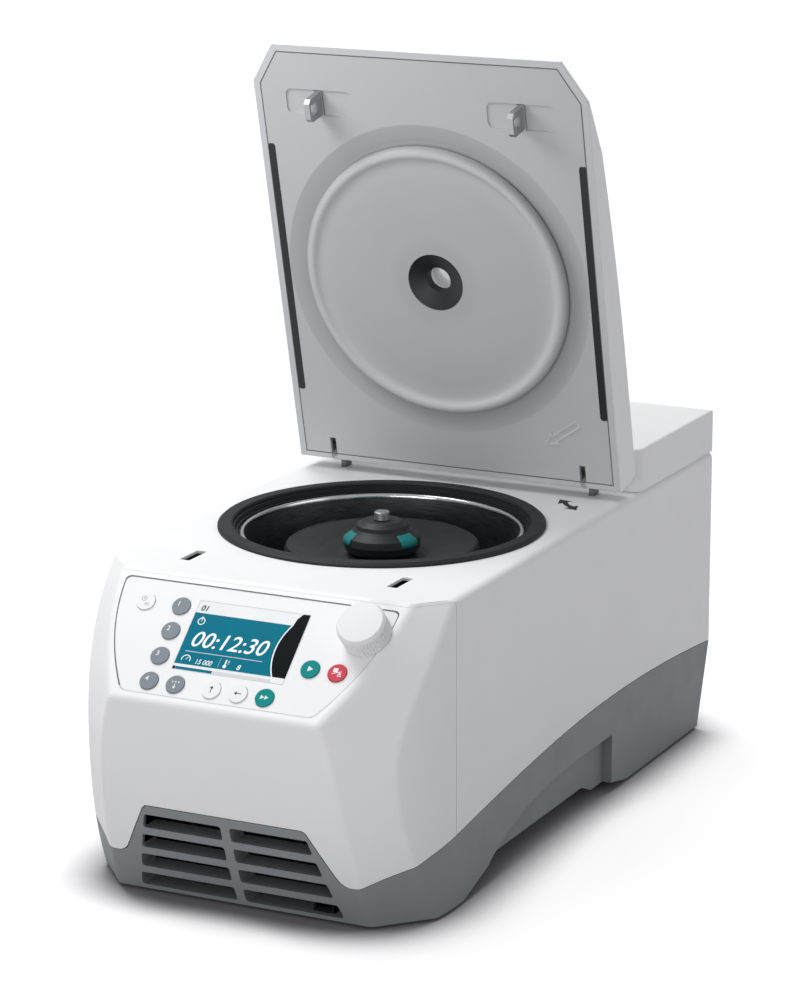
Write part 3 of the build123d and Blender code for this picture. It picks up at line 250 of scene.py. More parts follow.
def metal(name, colour, rough, stretch, scale=300.0, depth=0.00001, vary=0.08):
    mat, tree, bsdf, place = base_material(name)
    lines = noise(tree, place, scale, 4.0, stretch)
    tree.links.new(tinted(tree, lines, colour, vary), bsdf.inputs["Base Color"])
    tree.links.new(spread(tree, lines, rough - 0.06, rough + 0.08), bsdf.inputs["Roughness"])
    bump(tree, bsdf, lines, depth)
    bsdf.inputs["Metallic"].default_value = 1.0
    return mat


def glow(name, colour, strength):
    mat, tree, bsdf, place = base_material(name)
    tint = tinted(tree, noise(tree, place, 40.0), colour, 0.03)
    tree.links.new(tint, bsdf.inputs["Base Color"])
    tree.links.new(tint, bsdf.inputs["Emission Color"])
    bsdf.inputs["Emission Strength"].default_value = strength
    bsdf.inputs["Roughness"].default_value = 0.4
    bsdf.inputs["Specular IOR Level"].default_value = 0.04
    return mat


def window(name):
    mat, tree, bsdf, place = base_material(name)
    haze = noise(tree, place, 120.0)
    tree.links.new(spread(tree, haze, 0.1, 0.16), bsdf.inputs["Roughness"])
    bsdf.inputs["Base Color"].default_value = (0.95, 0.98, 0.98, 1)
    bsdf.inputs["Transmission Weight"].default_value = 0.5
    bsdf.inputs["IOR"].default_value = 1.49
    return mat


WHITE = lin(241, 241, 241)
LIP = lin(206, 207, 209)
LID_GREY = lin(198, 200, 203)
M = {
    "white": plastic("white_moulded", WHITE, 0.42, 0.01, 5200.0, 0.000012),
    "lid_white": lid_shell_paint("lid_white_moulded"),
    "white_paint": plastic("white_painted", WHITE, 0.40, 0.01, 2600.0, 0.000016),
    "slate": plastic("slate_textured", lin(134, 139, 142), 0.55, 0.04, 3000.0, 0.00006),
    # the lid's inner panel and disc carry painted shade and a painted highlight by radius
    "lid_moulding_painted_shade": lid_moulding_painted_shade("lid_panel_moulding_painted_shade"),
    "lid_grey": plastic("lid_grey_textured", lin(214, 216, 219), 0.52, 0.02, 3000.0, 0.00004),
    "panel": plastic("panel_film", lin(240, 240, 241), 0.5, 0.01, 6000.0, 0.00001, 0.12),
    "key_grey": plastic("key_grey", lin(132, 140, 146), 0.5, 0.03, shine=0.12),
    "key_white": plastic("key_white", lin(238, 238, 240), 0.45, 0.01, shine=0.15),
    "key_teal": plastic("key_teal", lin(0, 138, 134), 0.5, 0.03, shine=0.08),
    "key_red": plastic("key_red", lin(208, 74, 88), 0.5, 0.03, shine=0.08),
    "knob": plastic("knob_white", lin(234, 234, 235), 0.45, 0.01, shine=0.15),
    "rubber": plastic("rim_rubber", lin(38, 41, 43), 0.55, 0.06, 2200.0, 0.00004, 0.22),
    "foot": plastic("foot_rubber", lin(38, 38, 40), 0.75, 0.08),
    "black": plastic("black_moulded", lin(30, 31, 33), 0.45, 0.08, 2600.0, 0.00004),
    "anthracite": plastic("rotor_anthracite", lin(36, 38, 40), 0.52, 0.06, 1800.0, 0.00003),
    "teal_patch": plastic("grip_teal", lin(0, 128, 128), 0.38, 0.04),
    "steel": metal("brushed_steel", lin(190, 192, 194), 0.3, (1.0, 1.0, 30.0)),
    "bright": metal("polished_steel", lin(226, 227, 229), 0.16, (1.0, 1.0, 12.0), 120.0),
    "bowl": metal("bowl_steel", lin(158, 161, 164), 0.32, (1.0, 1.0, 26.0), 90.0, 0.00004, 0.25),
    "nut": metal("nut_steel", lin(176, 177, 178), 0.42, (1.0, 1.0, 20.0)),
    "hook": metal("hook_satin", lin(168, 170, 173), 0.5, (1.0, 1.0, 20.0), 200.0),
    "bracket": metal("bracket_dark", lin(120, 123, 126), 0.5, (1.0, 1.0, 20.0), 200.0),
    "coil_black": metal("cooler_black", lin(30, 31, 33), 0.55, (20.0, 1.0, 1.0), 200.0),
    "copper": metal("drawn_copper", lin(196, 122, 88), 0.3, (8.0, 8.0, 1.0)),
    "alloy": metal("cast_alloy", lin(150, 152, 155), 0.45, (1.0, 1.0, 1.0), 900.0, 0.00004),
    "iron": metal("laminated_iron", lin(80, 80, 84), 0.5, (1.0, 1.0, 400.0), 30.0, 0.00006, 0.2),
    "grey_paint": plastic("rear_grey_paint", lin(202, 204, 205), 0.45, 0.02, 1500.0, 0.00004),
    "foam": plastic("pale_foam", lin(214, 203, 160), 0.85, 0.1, 700.0, 0.0003),
    "board": plastic("board_green", lin(24, 92, 52), 0.4, 0.15, 500.0, 0.00004),
    "pot": plastic("compressor_black", lin(28, 28, 30), 0.35, 0.06, 900.0, 0.00005),
    "glass": window("clear_window"),
    "screen_white": glow("screen_white", lin(232, 234, 236), 0.04),
    "screen_blue": glow("screen_blue", lin(0, 112, 134), 0.04),
    "screen_dark": glow("screen_dark", lin(3, 13, 19), 0.0),
    "screen_line": glow("screen_line", lin(244, 248, 250), 0.1),
    "screen_soft": glow("screen_soft", lin(206, 209, 211), 0.08),
    "ink": plastic("print_dark", lin(58, 60, 63), 0.6, 0.05, shine=0.1),
    # painted shadow for joints, and a painted highlight for the lit edge of the panel joint
    "seam_painted_shadow": plastic("seam_painted_shadow", lin(112, 113, 116), 0.7, 0.04, shine=0.05),
    "seam_painted_highlight": plastic("seam_painted_highlight", lin(206, 207, 209), 0.7, 0.02, shine=0.05),
    "slit_black": plastic("slit_black", lin(38, 41, 43), 0.5, 0.08, 1800.0, 0.00004, 0.3),
    "ink_white": plastic("print_white", lin(236, 238, 240), 0.6, 0.02, shine=0.05),
    "ink_pale": plastic("print_pale", lin(150, 153, 156), 0.6, 0.04, shine=0.05),
}

NODE_FINISH = {
    "base_housing": "slate", "rubber_feet": "foot", "main_housing": "white_paint",
    "front_housing": "white", "rear_cover": "white", "rear_panel": "grey_paint",
    "mains_module": "black", "power_switch_rocker": "black", "panel_plate": "panel",
    "key_power": "key_white", "key_program_1": "key_grey", "key_program_2": "key_grey",
    "key_program_3": "key_grey", "key_program_4": "key_grey", "key_store": "key_grey",
    "key_info": "key_white", "key_back": "key_white", "key_quick_run": "key_teal",
    "key_start": "key_teal", "key_stop": "key_red", "display_glass": "screen_white",
    "display_module": "black", "control_board": "board", "control_knob": "knob",
    "knob_encoder": "steel", "rim_gasket": "rubber", "chamber_bowl": "bowl",
    "evaporator_coil": "copper", "chamber_insulation": "foam", "guard_ring": "grey_paint",
    "chassis_plate": "steel", "rubber_mounts": "rubber", "motor_housing": "alloy",
    "motor_stator": "iron", "motor_rotor": "iron", "drive_shaft": "steel",
    "shaft_seal": "rubber", "rotor": "anthracite", "rotor_lid": "anthracite",
    "rotor_lid_grip": "anthracite", "rotor_nut": "nut", "condenser": "coil_black",
    "condenser_fan_frame": "black", "condenser_fan_blades": "black", "compressor": "pot",
    "discharge_pipe": "copper", "filter_drier": "copper", "power_board": "board",
    "usb_socket": "coil_black", "lid_shell": "lid_white", "lid_inner_panel": "lid_moulding_painted_shade",
    "lid_disc": "lid_moulding_painted_shade", "viewport_bushing": "black", "viewport_glass": "glass",
    "latch_hooks": "hook", "hinge_pins": "steel", "hinge_brackets": "bracket",
    "lock_housings": "black", "lock_bolt_left": "steel", "lock_bolt_right": "steel",
}
for node_name, finish in NODE_FINISH.items():
    mesh = nodes[node_name].data
    mesh.materials.clear()
    mesh.materials.append(M[finish])


# ---------------------------------------------------------------- mesh helpers
def new_object(name, data):
    obj = bpy.data.objects.new(name, data)
    bpy.context.scene.collection.objects.link(obj)
    return obj


def new_piece(name, mesh, finish, body):
    obj = new_object(name, mesh)
    mesh.materials.clear()
    mesh.materials.append(M[finish])
    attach(obj, body)
    return obj


def add_mesh(name, verts, faces, finish, body, slot):
    mesh = bpy.data.meshes.new(name)
    mesh.from_pydata([tuple(v) for v in verts], [], faces)
    bm = bmesh.new()
    bm.from_mesh(mesh)
    bmesh.ops.recalc_face_normals(bm, faces=bm.faces)
    bm.to_mesh(mesh)
    bm.free()
    return new_piece(name, mesh, finish, body)


def soften(obj, angle):
    """Smooth shading, with edges sharper than the angle kept."""
    obj.data.shade_smooth()
    edge = obj.modifiers.new("edges", "EDGE_SPLIT")
    edge.split_angle = radians(angle)


def prism(outline, place, low, high):
    """Closed prism over a flat outline; place(u, v, w) gives the point in space."""
    n = len(outline)
    verts = [place(u, v, low) for u, v in outline] + [place(u, v, high) for u, v in outline]
    faces = [list(range(n))[::-1], list(range(n, 2 * n))]
    faces += [[i, (i + 1) % n, n + (i + 1) % n, n + i] for i in range(n)]
    return verts, faces


def band(outer, inner, place, low, high):
    """Closed ring between two outlines with the same number of points."""
    n = len(outer)
    verts = []
    for line, w in ((outer, low), (outer, high), (inner, high), (inner, low)):
        verts += [place(u, v, w) for u, v in line]
    faces = []
    for k in range(4):
        for i in range(n):
            j = (i + 1) % n
            a, b = k * n, ((k + 1) % 4) * n
            faces.append([a + i, a + j, b + j, b + i])
    return verts, faces


def merged(parts):
    verts, faces = [], []
    for v, f in parts:
        base = len(verts)
        verts += v
        faces += [[base + i for i in face] for face in f]
    return verts, faces


def circle(cx, cy, r, count=48, start=0.0, turn=2 * pi):
    """Points of a circle, or of an arc with both its ends."""
    closed = abs(turn - 2 * pi) < 1e-6
    steps = count if closed else count - 1
    angles = [start + turn * k / steps for k in range(count)]
    return [(cx + r * cos(a), cy + r * sin(a)) for a in angles]


def rect(x0, y0, x1, y1):
    return [(x0, y0), (x1, y0), (x1, y1), (x0, y1)]


def arrow(middle, tail, neck, tip, half):
    """Upright arrow on its middle line; half is half the width of its head."""
    left, right = middle - 0.3, middle + 0.3
    return [(left, tail), (right, tail), (right, neck), (middle + half, neck), (middle, tip),
            (middle - half, neck), (left, neck)]


def turned(points, x, y, angle):
    """Points turned about the origin and then moved to x, y."""
    c, s = cos(angle), sin(angle)
    return [(x + u * c - v * s, y + u * s + v * c) for u, v in points]


def on_panel(u, v, w):
    """u across, v up the slope from the deck edge (negative downwards), w out; all in mm."""
    return PANEL_O + PANEL_X * (u * MM) + PANEL_UP * (v * MM) + PANEL_N * (w * MM)


def on_deck(u, v, w):
    return Vector((u * MM, v * MM, DECK_Z + w * MM))


def under_lid(x, s, w):
    return lid_point(x, s, -w)


def drawn(name, outlines, place, low, high, finish, body, slot):
    """One piece made of flat outlines, each from low to high above its surface."""
    verts, faces = merged([prism(outline, place, low, high) for outline in outlines])
    add_mesh(name, verts, faces, finish, body, slot)


def words(name, text, x, y, size, level, finish, body, slot, shear=0.0, squeeze=1.0, weight=0.0):
    """Raised print on the panel, set in the built-in face; sizes and places in mm."""
    curve = bpy.data.curves.new(name + "_curve", "FONT")
    curve.body = text
    curve.size = size
    curve.shear = shear
    curve.offset = weight
    curve.extrude = 0.04
    curve.resolution_u = 6
    holder = new_object(name + "_holder", curve)
    bpy.context.view_layer.update()
    shaped = holder.evaluated_get(bpy.context.evaluated_depsgraph_get())
    mesh = bpy.data.meshes.new_from_object(shaped)
    bpy.data.objects.remove(holder)
    for v in mesh.vertices:
        v.co = on_panel(x + v.co.x * squeeze, y + v.co.y, level + v.co.z)
    mesh.name = name
    new_piece(name, mesh, finish, body)


def lathe(name, profile, steps, finish, body, slot):
    """Closed profile of (radius, height) points in mm turned about the chamber's axis."""
    verts, faces = [], []
    n = len(profile)
    for k in range(steps):
        a = 2 * pi * k / steps
        for r, z in profile:
            verts.append(Vector((r * MM * cos(a), CHAMBER_Y + r * MM * sin(a), z * MM)))
    for k in range(steps):
        for i in range(n):
            a, b = k * n, ((k + 1) % steps) * n
            j = (i + 1) % n
            faces.append([a + i, a + j, b + j, b + i])
    soften(add_mesh(name, verts, faces, finish, body, slot), 40)


# ---------------------------------------------------------------- control panel
# display, in mm on the panel: height of its window's face, half the screen's width, foot and
# head of the blue field and of the bar below it, and the arc that closes the field
WINDOW_FACE = -0.3
SCREEN_SIDE = 43.4
FIELD_LOW, FIELD_HIGH = -71.6, -29.6
BAR_LOW, BAR_HIGH = -76.2, -73.9
FIELD_ARC_X, FIELD_ARC_Y, FIELD_ARC_R = 69.0, -50.6, 42.0
LINE_WIDTH = 0.9


def panel_print():
    """The display's fields, bars, digits and signs."""
    w0, w1 = WINDOW_FACE + 0.02, WINDOW_FACE + 0.1
    w2, w3 = w1 + 0.04, w1 + 0.05
    home = ("body", "display_window")

    def show(name, outlines, low, high, finish):
        drawn(name, outlines, on_panel, low, high, finish, *home)

    arc = circle(FIELD_ARC_X, FIELD_ARC_Y, FIELD_ARC_R, 14, radians(150), radians(60))
    arc = [(x, max(FIELD_LOW, min(FIELD_HIGH, y))) for x, y in arc]
    arc_beside = [(x + LINE_WIDTH, y) for x, y in arc]
    blue = [(-SCREEN_SIDE, FIELD_LOW), (-SCREEN_SIDE, FIELD_HIGH)] + arc
    dark = [(SCREEN_SIDE, FIELD_LOW), (SCREEN_SIDE, -19.6), (38.0, -19.6), (34.6, -24.0)]
    show("screen_field", [blue], w0, w1, "screen_blue")
    show("screen_edge_line", [arc + arc_beside[::-1]], w0, w1 + 0.02, "screen_line")
    show("screen_dark_band", [dark + arc_beside], w0, w1, "screen_dark")
    show("screen_bar_done", [rect(-41.0, BAR_LOW, -12.4, BAR_HIGH)], w0, w1, "screen_blue")
    show("screen_bar_start", [rect(-43.2, BAR_LOW, -41.2, BAR_HIGH)], w0, w1, "screen_dark")
    show("screen_bar_left", [rect(-12.2, BAR_LOW, 33.3, BAR_HIGH)], w0, w1, "screen_soft")
    show("screen_rule", [rect(-38.8, -61.3, 21.6, -60.8)], w1, w2, "screen_soft")
    rim, rim_in = rect(-43.5, -76.5, 43.5, -19.5), rect(-43.2, -76.2, 43.2, -19.8)
    verts, faces = band(rim, rim_in, on_panel, w0, w1)
    add_mesh("screen_border", verts, faces, "screen_soft", *home)

    words("screen_time", "00:12:30", -38.2, -56.6, 17.6, w3, "screen_line", *home,
          shear=0.22, squeeze=0.98, weight=0.1)
    words("screen_header", "01", -40.6, -27.6, 6.2, w3, "ink", *home, shear=0.2, weight=0.08)
    words("screen_speed", "15 000", -28.4, -70.2, 5.6, w3, "screen_line", *home,
          shear=0.2, squeeze=0.86, weight=0.02)
    words("screen_heat", "8", 4.5, -70.2, 5.6, w3, "screen_line", *home, shear=0.2, weight=0.02)

    timer = (-36.1, -36.2)
    ring = band(circle(*timer, 2.9), circle(*timer, 2.3), on_panel, w1, w3)
    hand = prism(rect(-36.3, -36.4, -35.9, -34.4), on_panel, w1, w3)
    button = prism(rect(-36.9, -33.2, -35.3, -32.6), on_panel, w1, w3)
    verts, faces = merged([ring, hand, button])
    add_mesh("screen_timer_mark", verts, faces, "screen_line", *home)
    sweep = (32, radians(-20), radians(220))
    dial = circle(-35.7, -67.6, 3.6, *sweep) + circle(-35.7, -67.6, 3.0, *sweep)[::-1]
    needle = [(-35.9, -67.8), (-35.5, -67.8), (-34.2, -65.6), (-34.5, -65.4)]
    show("screen_dial_mark", [dial, needle], w1, w3, "screen_line")
    bulb = circle(-4.8, -69.0, 1.4, 24)
    stem = rect(-5.3, -68.2, -4.3, -63.6)
    ticks = [rect(-3.2, -64.6 - k * 1.1, -2.0, -64.2 - k * 1.1) for k in range(3)]
    show("screen_heat_mark", [bulb, stem] + ticks, w1, w3, "screen_line")
    dots = [rect(-9.8, -70.0 + k * 1.6, -9.4, -69.3 + k * 1.6) for k in range(5)]
    show("screen_divider", dots, w1, w2, "screen_soft")


# height of a key's face above the panel, and the middle of each key on it, in mm
KEY_TOP = 0.7
KEYS = {
    "key_power": (-84.3, -26.6), "key_program_1": (-56.0, -26.6), "key_program_2": (-56.0, -47.3),
    "key_program_3": (-56.0, -68.0), "key_program_4": (-56.0, -88.7), "key_store": (-35.3, -88.7),
    "key_info": (-6.8, -88.7), "key_back": (13.9, -88.7), "key_quick_run": (34.6, -88.7),
    "key_start": (59.2, -61.7), "key_stop": (79.9, -61.7),
}


def key_marks():
    """Numbers and plain signs on the keys."""
    w0, w1 = KEY_TOP + 0.01, KEY_TOP + 0.06

    def mark(key, outlines, ink, ending="_mark"):
        drawn(key + ending, outlines, on_panel, w0, w1, ink, key, NODE_FINISH[key])

    for k in range(4):
        key = "key_program_%d" % (k + 1)
        x, y = KEYS[key]
        words(key + "_number", str(k + 1), x - 3.4, y - 0.2, 5.4, w1, "ink_white",
              key, NODE_FINISH[key], weight=0.06)
        bars = [rect(x + 0.2, y - 3.4 + j * 1.1, x + 3.4 - j * 0.8, y - 2.9 + j * 1.1)
                for j in range(3)]
        mark(key, bars, "ink_pale", "_bars")
    x, y = KEYS["key_store"]
    dots = [circle(x - 2.4 + 2.4 * j, y + 1.8, 0.6, 16) for j in range(3)]
    mark("key_store", dots + [arrow(x, y + 0.2, y - 2.0, y - 3.8, 1.4)], "ink_white")
    x, y = KEYS["key_info"]
    mark("key_info", [arrow(x, y - 2.6, y + 1.0, y + 3.0, 1.4)], "ink")
    x, y = KEYS["key_back"]
    back = [(u, v) for v, u in arrow(y, x + 2.8, x - 0.8, x - 2.8, 1.5)]
    mark("key_back", [back], "ink")
    x, y = KEYS["key_quick_run"]
    fast = [[(x + o, y - 1.7), (x + o + 2.9, y), (x + o, y + 1.7)] for o in (-3.0, 0.2)]
    mark("key_quick_run", fast, "ink_white")
    x, y = KEYS["key_start"]
    mark("key_start", [[(x - 1.5, y - 2.2), (x + 2.4, y), (x - 1.5, y + 2.2)]], "ink_white")
    x, y = KEYS["key_stop"]
    square = rect(x - 3.4, y + 0.2, x + 0.2, y + 3.4)
    bar = rect(x + 0.6, y - 2.8, x + 3.8, y - 2.0)
    wedge = [(x + 0.6, y - 1.4), (x + 3.8, y - 1.4), (x + 2.2, y + 0.4)]
    stroke = [(x - 3.9, y - 1.0), (x - 3.4, y - 1.5), (x + 3.4, y + 1.0), (x + 3.1, y + 1.5)]
    mark("key_stop", [square, bar, wedge, stroke], "ink_white")
    x, y = KEYS["key_power"]
    ring_at = (x - 1.8, y + 1.9)
    parts = [band(circle(*ring_at, 2.0, 32), circle(*ring_at, 1.6, 32), on_panel, w0, w1),
             prism(circle(*ring_at, 0.6, 16), on_panel, w0, w1)]
    for j in range(3):
        line = rect(x - 0.2, y - 1.6 - 0.9 * j, x + 3.6, y - 1.3 - 0.9 * j)
        parts.append(prism(line, on_panel, w0, w1))
    verts, faces = merged(parts)
    add_mesh("key_power_mark", verts, faces, "ink_pale", "key_power", NODE_FINISH["key_power"])


KNOB_U, KNOB_V = 91.0, -29.5
# radius, height above the panel and depth of the ribs, in mm, from the skirt's foot to the cap
KNOB_RINGS = ((16.9, 0.4, 0), (17.5, 0.9, 0.7), (17.6, 6.0, 0.7), (17.6, 12.6, 0.7),
              (16.7, 12.9, 0), (16.7, 13.4, 0), (17.7, 13.6, 0), (17.7, 15.2, 0),
              (16.3, 17.3, 0), (15.8, 17.6, 0), (8.0, 17.9, 0), (0.01, 18.0, 0))


def knob():
    """Turning knob: chamfered domed cap, finely ribbed skirt."""
    ribs, steps = 48, 384
    verts, faces = [], []
    for r, w, cut in KNOB_RINGS:
        for k in range(steps):
            a = 2 * pi * k / steps
            rr = r - cut * (0.5 - 0.5 * cos(ribs * a))
            verts.append(on_panel(KNOB_U + rr * cos(a), KNOB_V + rr * sin(a), w))
    for i in range(len(KNOB_RINGS) - 1):
        here, there = i * steps, (i + 1) * steps
        for k in range(steps):
            j = (k + 1) % steps
            faces.append([here + k, here + j, there + j, there + k])
    faces.append(list(range(steps))[::-1])
    obj = add_mesh("ribbed_knob", verts, faces, "knob", "control_knob", "knob_silver")
    soften(obj, 24)
    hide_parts("control_knob")


def eased(p0, p1, p2):
    """Points of a soft corner from p0 to p2 with its tip at p1."""
    steps = 6
    line = []
    for k in range(steps + 1):
        t = k / steps
        a, b, c = (1 - t) ** 2, 2 * t * (1 - t), t * t
        line.append((a * p0[0] + b * p1[0] + c * p2[0], a * p0[1] + b * p1[1] + c * p2[1]))
    return line


# panel plate: its upper and lower edge, and half its width at the top, middle and foot, in mm
PLATE_HIGH, PLATE_LOW = -7.5, -98.6
PLATE_TOP_X, PLATE_WAIST_X, PLATE_FOOT_X = 107.5, 98.5, 74.5


def plate_edge(inset):
    """Right half of the panel plate's outline, from its top edge down to its foot."""
    steps = 20
    high, low = PLATE_HIGH - inset, PLATE_LOW + inset
    top, waist, foot = PLATE_TOP_X - inset, PLATE_WAIST_X - inset, PLATE_FOOT_X - inset
    line = []
    for k in range(1, steps):
        t = k / steps
        a, b, c = (1 - t) * (1 - 2 * t), 4 * t * (1 - t), t * (2 * t - 1)
        line.append((a * top + b * waist + c * foot, high + (low - high) * t))
    upper = eased((top - 5, high), (top, high), line[0])
    lower = eased(line[-1], (foot, low), (foot - 4.5, low))
    return upper[:-1] + line + lower[1:]


def panel_seam():
    """Fine joint round the panel plate, with a painted shadow at the top and left and a painted
    highlight at the right and foot.
    """
    outlines = []
    for inset in (-0.55, 0.2):
        right = plate_edge(inset)
        outlines.append(right + [(-x, y) for x, y in right[::-1]])
    outer, inner = outlines
    # the points run down the right side, along the foot, up the left side and along the top
    n = len(outer)
    pale_from, pale_to = 8, n // 2 + 5
    dark = list(range(pale_to, n)) + list(range(pale_from + 1))
    pale = list(range(pale_from, pale_to + 1))
    # the dark strip is painted shadow of the recess, the pale strip a painted highlight on its
    # edge
    for name, run in (("seam_painted_shadow", dark), ("seam_painted_highlight", pale)):
        strip = [outer[i] for i in run] + [inner[i] for i in run[::-1]]
        drawn("panel_" + name, [strip], on_panel, -0.34, 0.03, name, "body", "white_paint")


# ---------------------------------------------------------------- deck, lid and chamber
def deck_print():
    """Flat two-headed arrow on the deck."""
    tail, tip = (88.9, 91.7), (113.8, 72.2)
    angle = atan2(tip[1] - tail[1], tip[0] - tail[0])
    shape = [(-17, 2.0), (-7, 7.6), (-7.4, 3.4), (0, 1.0), (6.2, 1.4), (5.8, 5.6), (17, -2.0),
             (7.0, -7.6), (7.4, -3.4), (0, -3.0), (-6.2, -1.4), (-5.8, -5.6)]
    drawn("deck_turn_arrow", [turned(shape, 101.0, 82.0, angle)], on_deck, 0.01, 0.08,
          "ink", "body", "white_paint")


def lid_arrow():
    """Raised outline arrow in the lid's lower corner."""
    x0, s0, x1, s1 = 105.8, 54.1, 78.0, 34.4
    angle = atan2(s1 - s0, x1 - x0)
    long = hypot(x1 - x0, s1 - s0)
    outer = [(0, 3.0), (long - 9, 3.0), (long - 11, 6.4), (long, 0), (long - 11, -6.4),
             (long - 9, -3.0), (0, -3.0)]
    inner = [(0.8, 2.2), (long - 7.9, 2.2), (long - 9.0, 4.4), (long - 1.6, 0),
             (long - 9.0, -4.4), (long - 7.9, -2.2), (0.8, -2.2)]
    verts, faces = band(turned(outer, x0, s0, angle), turned(inner, x0, s0, angle),
                        under_lid, -0.05, 0.6)
    add_mesh("lid_arrow_outline", verts, faces, "lid_grey", "lid", "lid_grey")


def lid_slits():
    """Dark seal strips with rounded ends in the lid's two long slits."""
    x0, x1, s0, s1 = 124.6, 130.3, 59.0, 262.0
    r = 2.4
    corners = ((x1 - r, s1 - r, 0), (x0 + r, s1 - r, 90),
               (x0 + r, s0 + r, 180), (x1 - r, s0 + r, 270))
    for side, hand in ((-1, "left"), (1, "right")):
        line = []
        for cx, cs, start in corners:
            line += circle(cx, cs, r, 6, radians(start), radians(90))
        drawn("lid_slit_strip_" + hand, [[(side * x, s) for x, s in line]], under_lid, -0.6, 0.12,
              "slit_black", "lid", "black_rubber")


def lid_seam():
    """Thin shadow line between the lid's lip and its inner panel."""
    # the cut corners run 19 mm across for 29.4 mm along, 35 mm in length
    across, along_lid, slant = 19.0, 29.4, 35.0

    def outline(inset):
        side, front, reach = 136.0 - inset, 341.0 - inset, 283.39 - inset
        cut_s = (reach * slant - side * along_lid) / across
        cut_x = (reach * slant - front * across) / along_lid
        right = [(side, inset), (side, cut_s), (cut_x, front)]
        return right + [(-x, s) for x, s in right[::-1]]

    verts, faces = band(outline(5.05), outline(5.95), under_lid, -0.3, 0.06)
    add_mesh("lid_seam_line", verts, faces, "seam_painted_shadow", "lid", "lid_grey")


def bowl_ring():
    """Bright rolled lip of the chamber bowl, just inside the rubber rim."""
    profile = [(101.8, 219.2), (101.8, 221.9), (102.2, 222.5), (102.9, 222.85), (104.2, 222.85),
               (105.0, 222.45), (104.6, 222.3), (102.6, 222.3), (102.05, 221.6), (102.05, 219.2)]
    lathe("bowl_bright_ring", profile, 180, "bright", "body", "steel")


def grip_patches():
    """Teal squares on the barrel of the rotor lid's grip."""
    profile = [(28.95, 213.4), (28.6, 215.6), (27.9, 217.8), (25.6, 219.4), (23.2, 221.0),
               (21.9, 221.8)]
    n = len(profile)
    half_turn, steps = radians(17.5), 10
    for index, middle in enumerate((-16, 104, 224)):
        verts, faces = [], []
        for k in range(steps + 1):
            a = radians(middle) - half_turn + 2 * half_turn * k / steps
            for r, z in profile:
                verts.append(Vector((r * MM * cos(a), CHAMBER_Y + r * MM * sin(a), z * MM)))
        for k in range(steps):
            for i in range(n - 1):
                a, b = k * n + i, (k + 1) * n + i
                faces.append([a, a + 1, b + 1, b])
        obj = add_mesh("grip_patch_%d" % (index + 1), verts, faces, "teal_patch",
                       "rotor_lid_grip", "key_teal")
        obj.data.shade_smooth()
        thick = obj.modifiers.new("thick", "SOLIDIFY")
        thick.thickness = 0.12 * MM
        thick.offset = 1.0


panel_print()
panel_seam()
lid_slits()
lid_seam()
bowl_ring()
key_marks()
knob()
deck_print()
lid_arrow()
grip_patches()


# ---------------------------------------------------------------- stage
FLOOR_HALF, FLOOR_Z = 9.0, -0.5 * MM


def seen_by(tree, first, second):
    """1 for two kinds of ray, 0 for all others."""
    path = tree.nodes.new("ShaderNodeLightPath")
    return math_node(tree, "MAXIMUM", path.outputs[first], path.outputs[second])


def stage_floor():
    """Floor that looks white in the open and darkens softly close under the machine, where a
    painted contact shadow dims its glow by ambient occlusion.
    """
    mesh = bpy.data.meshes.new("floor")
    corners = rect(-FLOOR_HALF, -FLOOR_HALF, FLOOR_HALF, FLOOR_HALF)
    mesh.from_pydata([(x, y, FLOOR_Z) for x, y in corners], [], [(0, 1, 2, 3)])
    floor = new_object("floor", mesh)
    mat = bpy.data.materials.new("floor_white")
    mat.use_nodes = True
    tree = mat.node_tree
    tree.nodes.remove(tree.nodes["Principled BSDF"])
    seen = seen_by(tree, "Is Camera Ray", "Is Glossy Ray")
    near = tree.nodes.new("ShaderNodeAmbientOcclusion")
    near.samples = 16
    near.inputs["Distance"].default_value = 0.055
    diffuse = tree.nodes.new("ShaderNodeBsdfDiffuse")
    tint = mixed(tree, seen, (0.34, 0.34, 0.35, 1), (0.27, 0.26, 0.28, 1))
    tree.links.new(tint, diffuse.inputs["Color"])
    # painted contact shadow: the glow fades where ambient occlusion finds the machine close by
    glow_with_painted_shadow = spread(tree, near.outputs["AO"], 0.0, 0.84, 0.42, 1.0, "SMOOTHSTEP")
    glow_node = tree.nodes.new("ShaderNodeEmission")
    tree.links.new(math_node(tree, "MULTIPLY", glow_with_painted_shadow, seen), glow_node.inputs["Strength"])
    total = tree.nodes.new("ShaderNodeAddShader")
    tree.links.new(diffuse.outputs[0], total.inputs[0])
    tree.links.new(glow_node.outputs[0], total.inputs[1])
    tree.links.new(total.outputs[0], tree.nodes["Material Output"].inputs["Surface"])
    mesh.materials.append(mat)


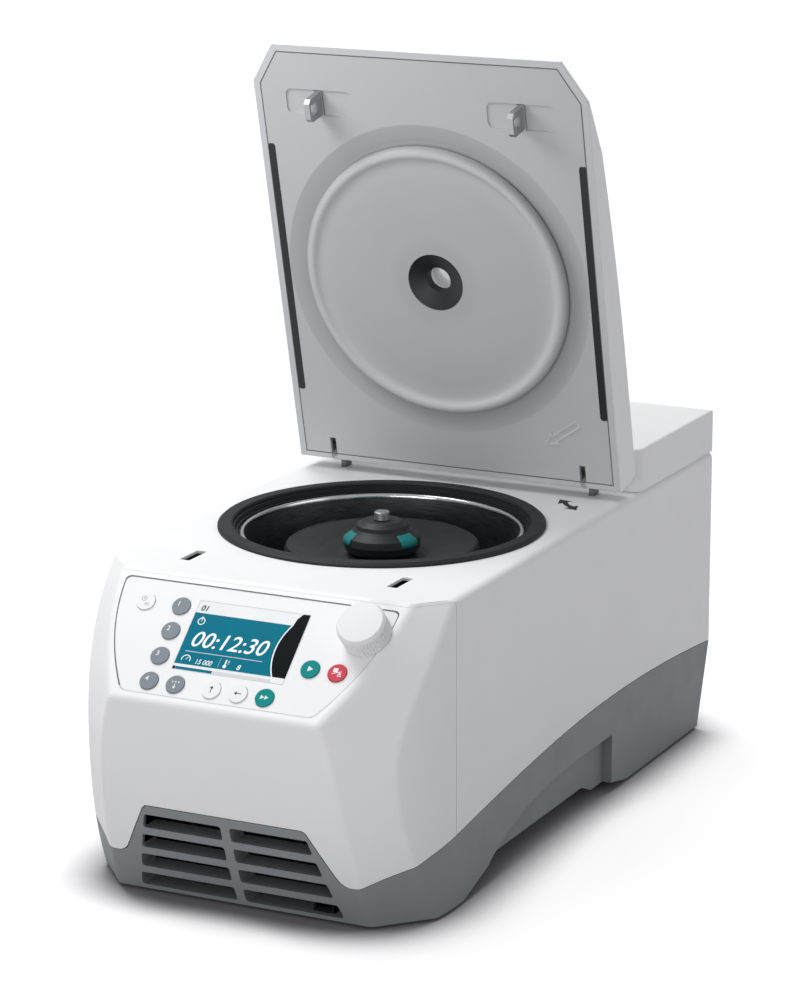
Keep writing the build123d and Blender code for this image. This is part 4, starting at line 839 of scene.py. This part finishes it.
def studio():
    """World that gives a dim even light and looks white behind the machine."""
    world = bpy.data.worlds.new("studio")
    bpy.context.scene.world = world
    world.use_nodes = True
    tree = world.node_tree
    dim = tree.nodes["Background"]
    dim.inputs["Color"].default_value = (0.97, 0.98, 1.0, 1)
    dim.inputs["Strength"].default_value = 0.42
    white = tree.nodes.new("ShaderNodeBackground")
    white.inputs["Color"].default_value = (1, 1, 1, 1)
    white.inputs["Strength"].default_value = 1.0
    pick = tree.nodes.new("ShaderNodeMixShader")
    seen = seen_by(tree, "Is Camera Ray", "Is Transmission Ray")
    tree.links.new(seen, pick.inputs["Fac"])
    tree.links.new(dim.outputs[0], pick.inputs[1])
    tree.links.new(white.outputs[0], pick.inputs[2])
    tree.links.new(pick.outputs[0], tree.nodes["World Output"].inputs["Surface"])


def aimed(name, light, place, target):
    obj = new_object(name, light)
    obj.location = place
    obj.rotation_euler = (Vector(target) - Vector(place)).to_track_quat("-Z", "Y").to_euler()


def sun(name, source, strength, angle):
    light = bpy.data.lights.new(name, "SUN")
    light.energy = strength
    light.angle = radians(angle)
    aimed(name, light, source, (0, 0, 0))


def lamp(name, place, target, width, height, power):
    light = bpy.data.lights.new(name, "AREA")
    light.shape = "RECTANGLE"
    light.size, light.size_y = width, height
    light.energy = power
    aimed(name, light, place, target)


def camera():
    """Camera at the photograph's place, with its three directions."""
    data = bpy.data.cameras.new("camera")
    data.lens = 129.02
    data.sensor_width = 36.0
    data.shift_x = -0.0515
    data.shift_y = 0.045
    data.clip_end = 50.0
    obj = new_object("camera", data)
    place = (1.15566, -2.3115, 0.90842)
    right = Vector((0.90149, 0.43281, 0.0))
    up = Vector((-0.11401, 0.23746, 0.96468))
    ahead = Vector((-0.41752, 0.86965, -0.26341))
    turn = Matrix((right, up, -ahead)).transposed().to_4x4()
    obj.matrix_world = Matrix.Translation(place) @ turn
    bpy.context.scene.camera = obj


stage_floor()
studio()
camera()
sun("top_soft", (-0.42, 0.24, 1.0), 1.62, 28)
lamp("front_soft", (0.0, -1.75, 0.16), (0, 0, 0.14), 1.2, 0.7, 9.8)
lamp("lid_soft", (-0.34, -0.2, 0.82), (-0.02, 0.2, 0.5), 0.3, 0.3, 1.9)
lamp("right_soft", (3.0, 0.3, 1.0), (0, 0, 0.15), 2.2, 1.8, 9)
bpy.context.scene.view_settings.view_transform = "Standard"
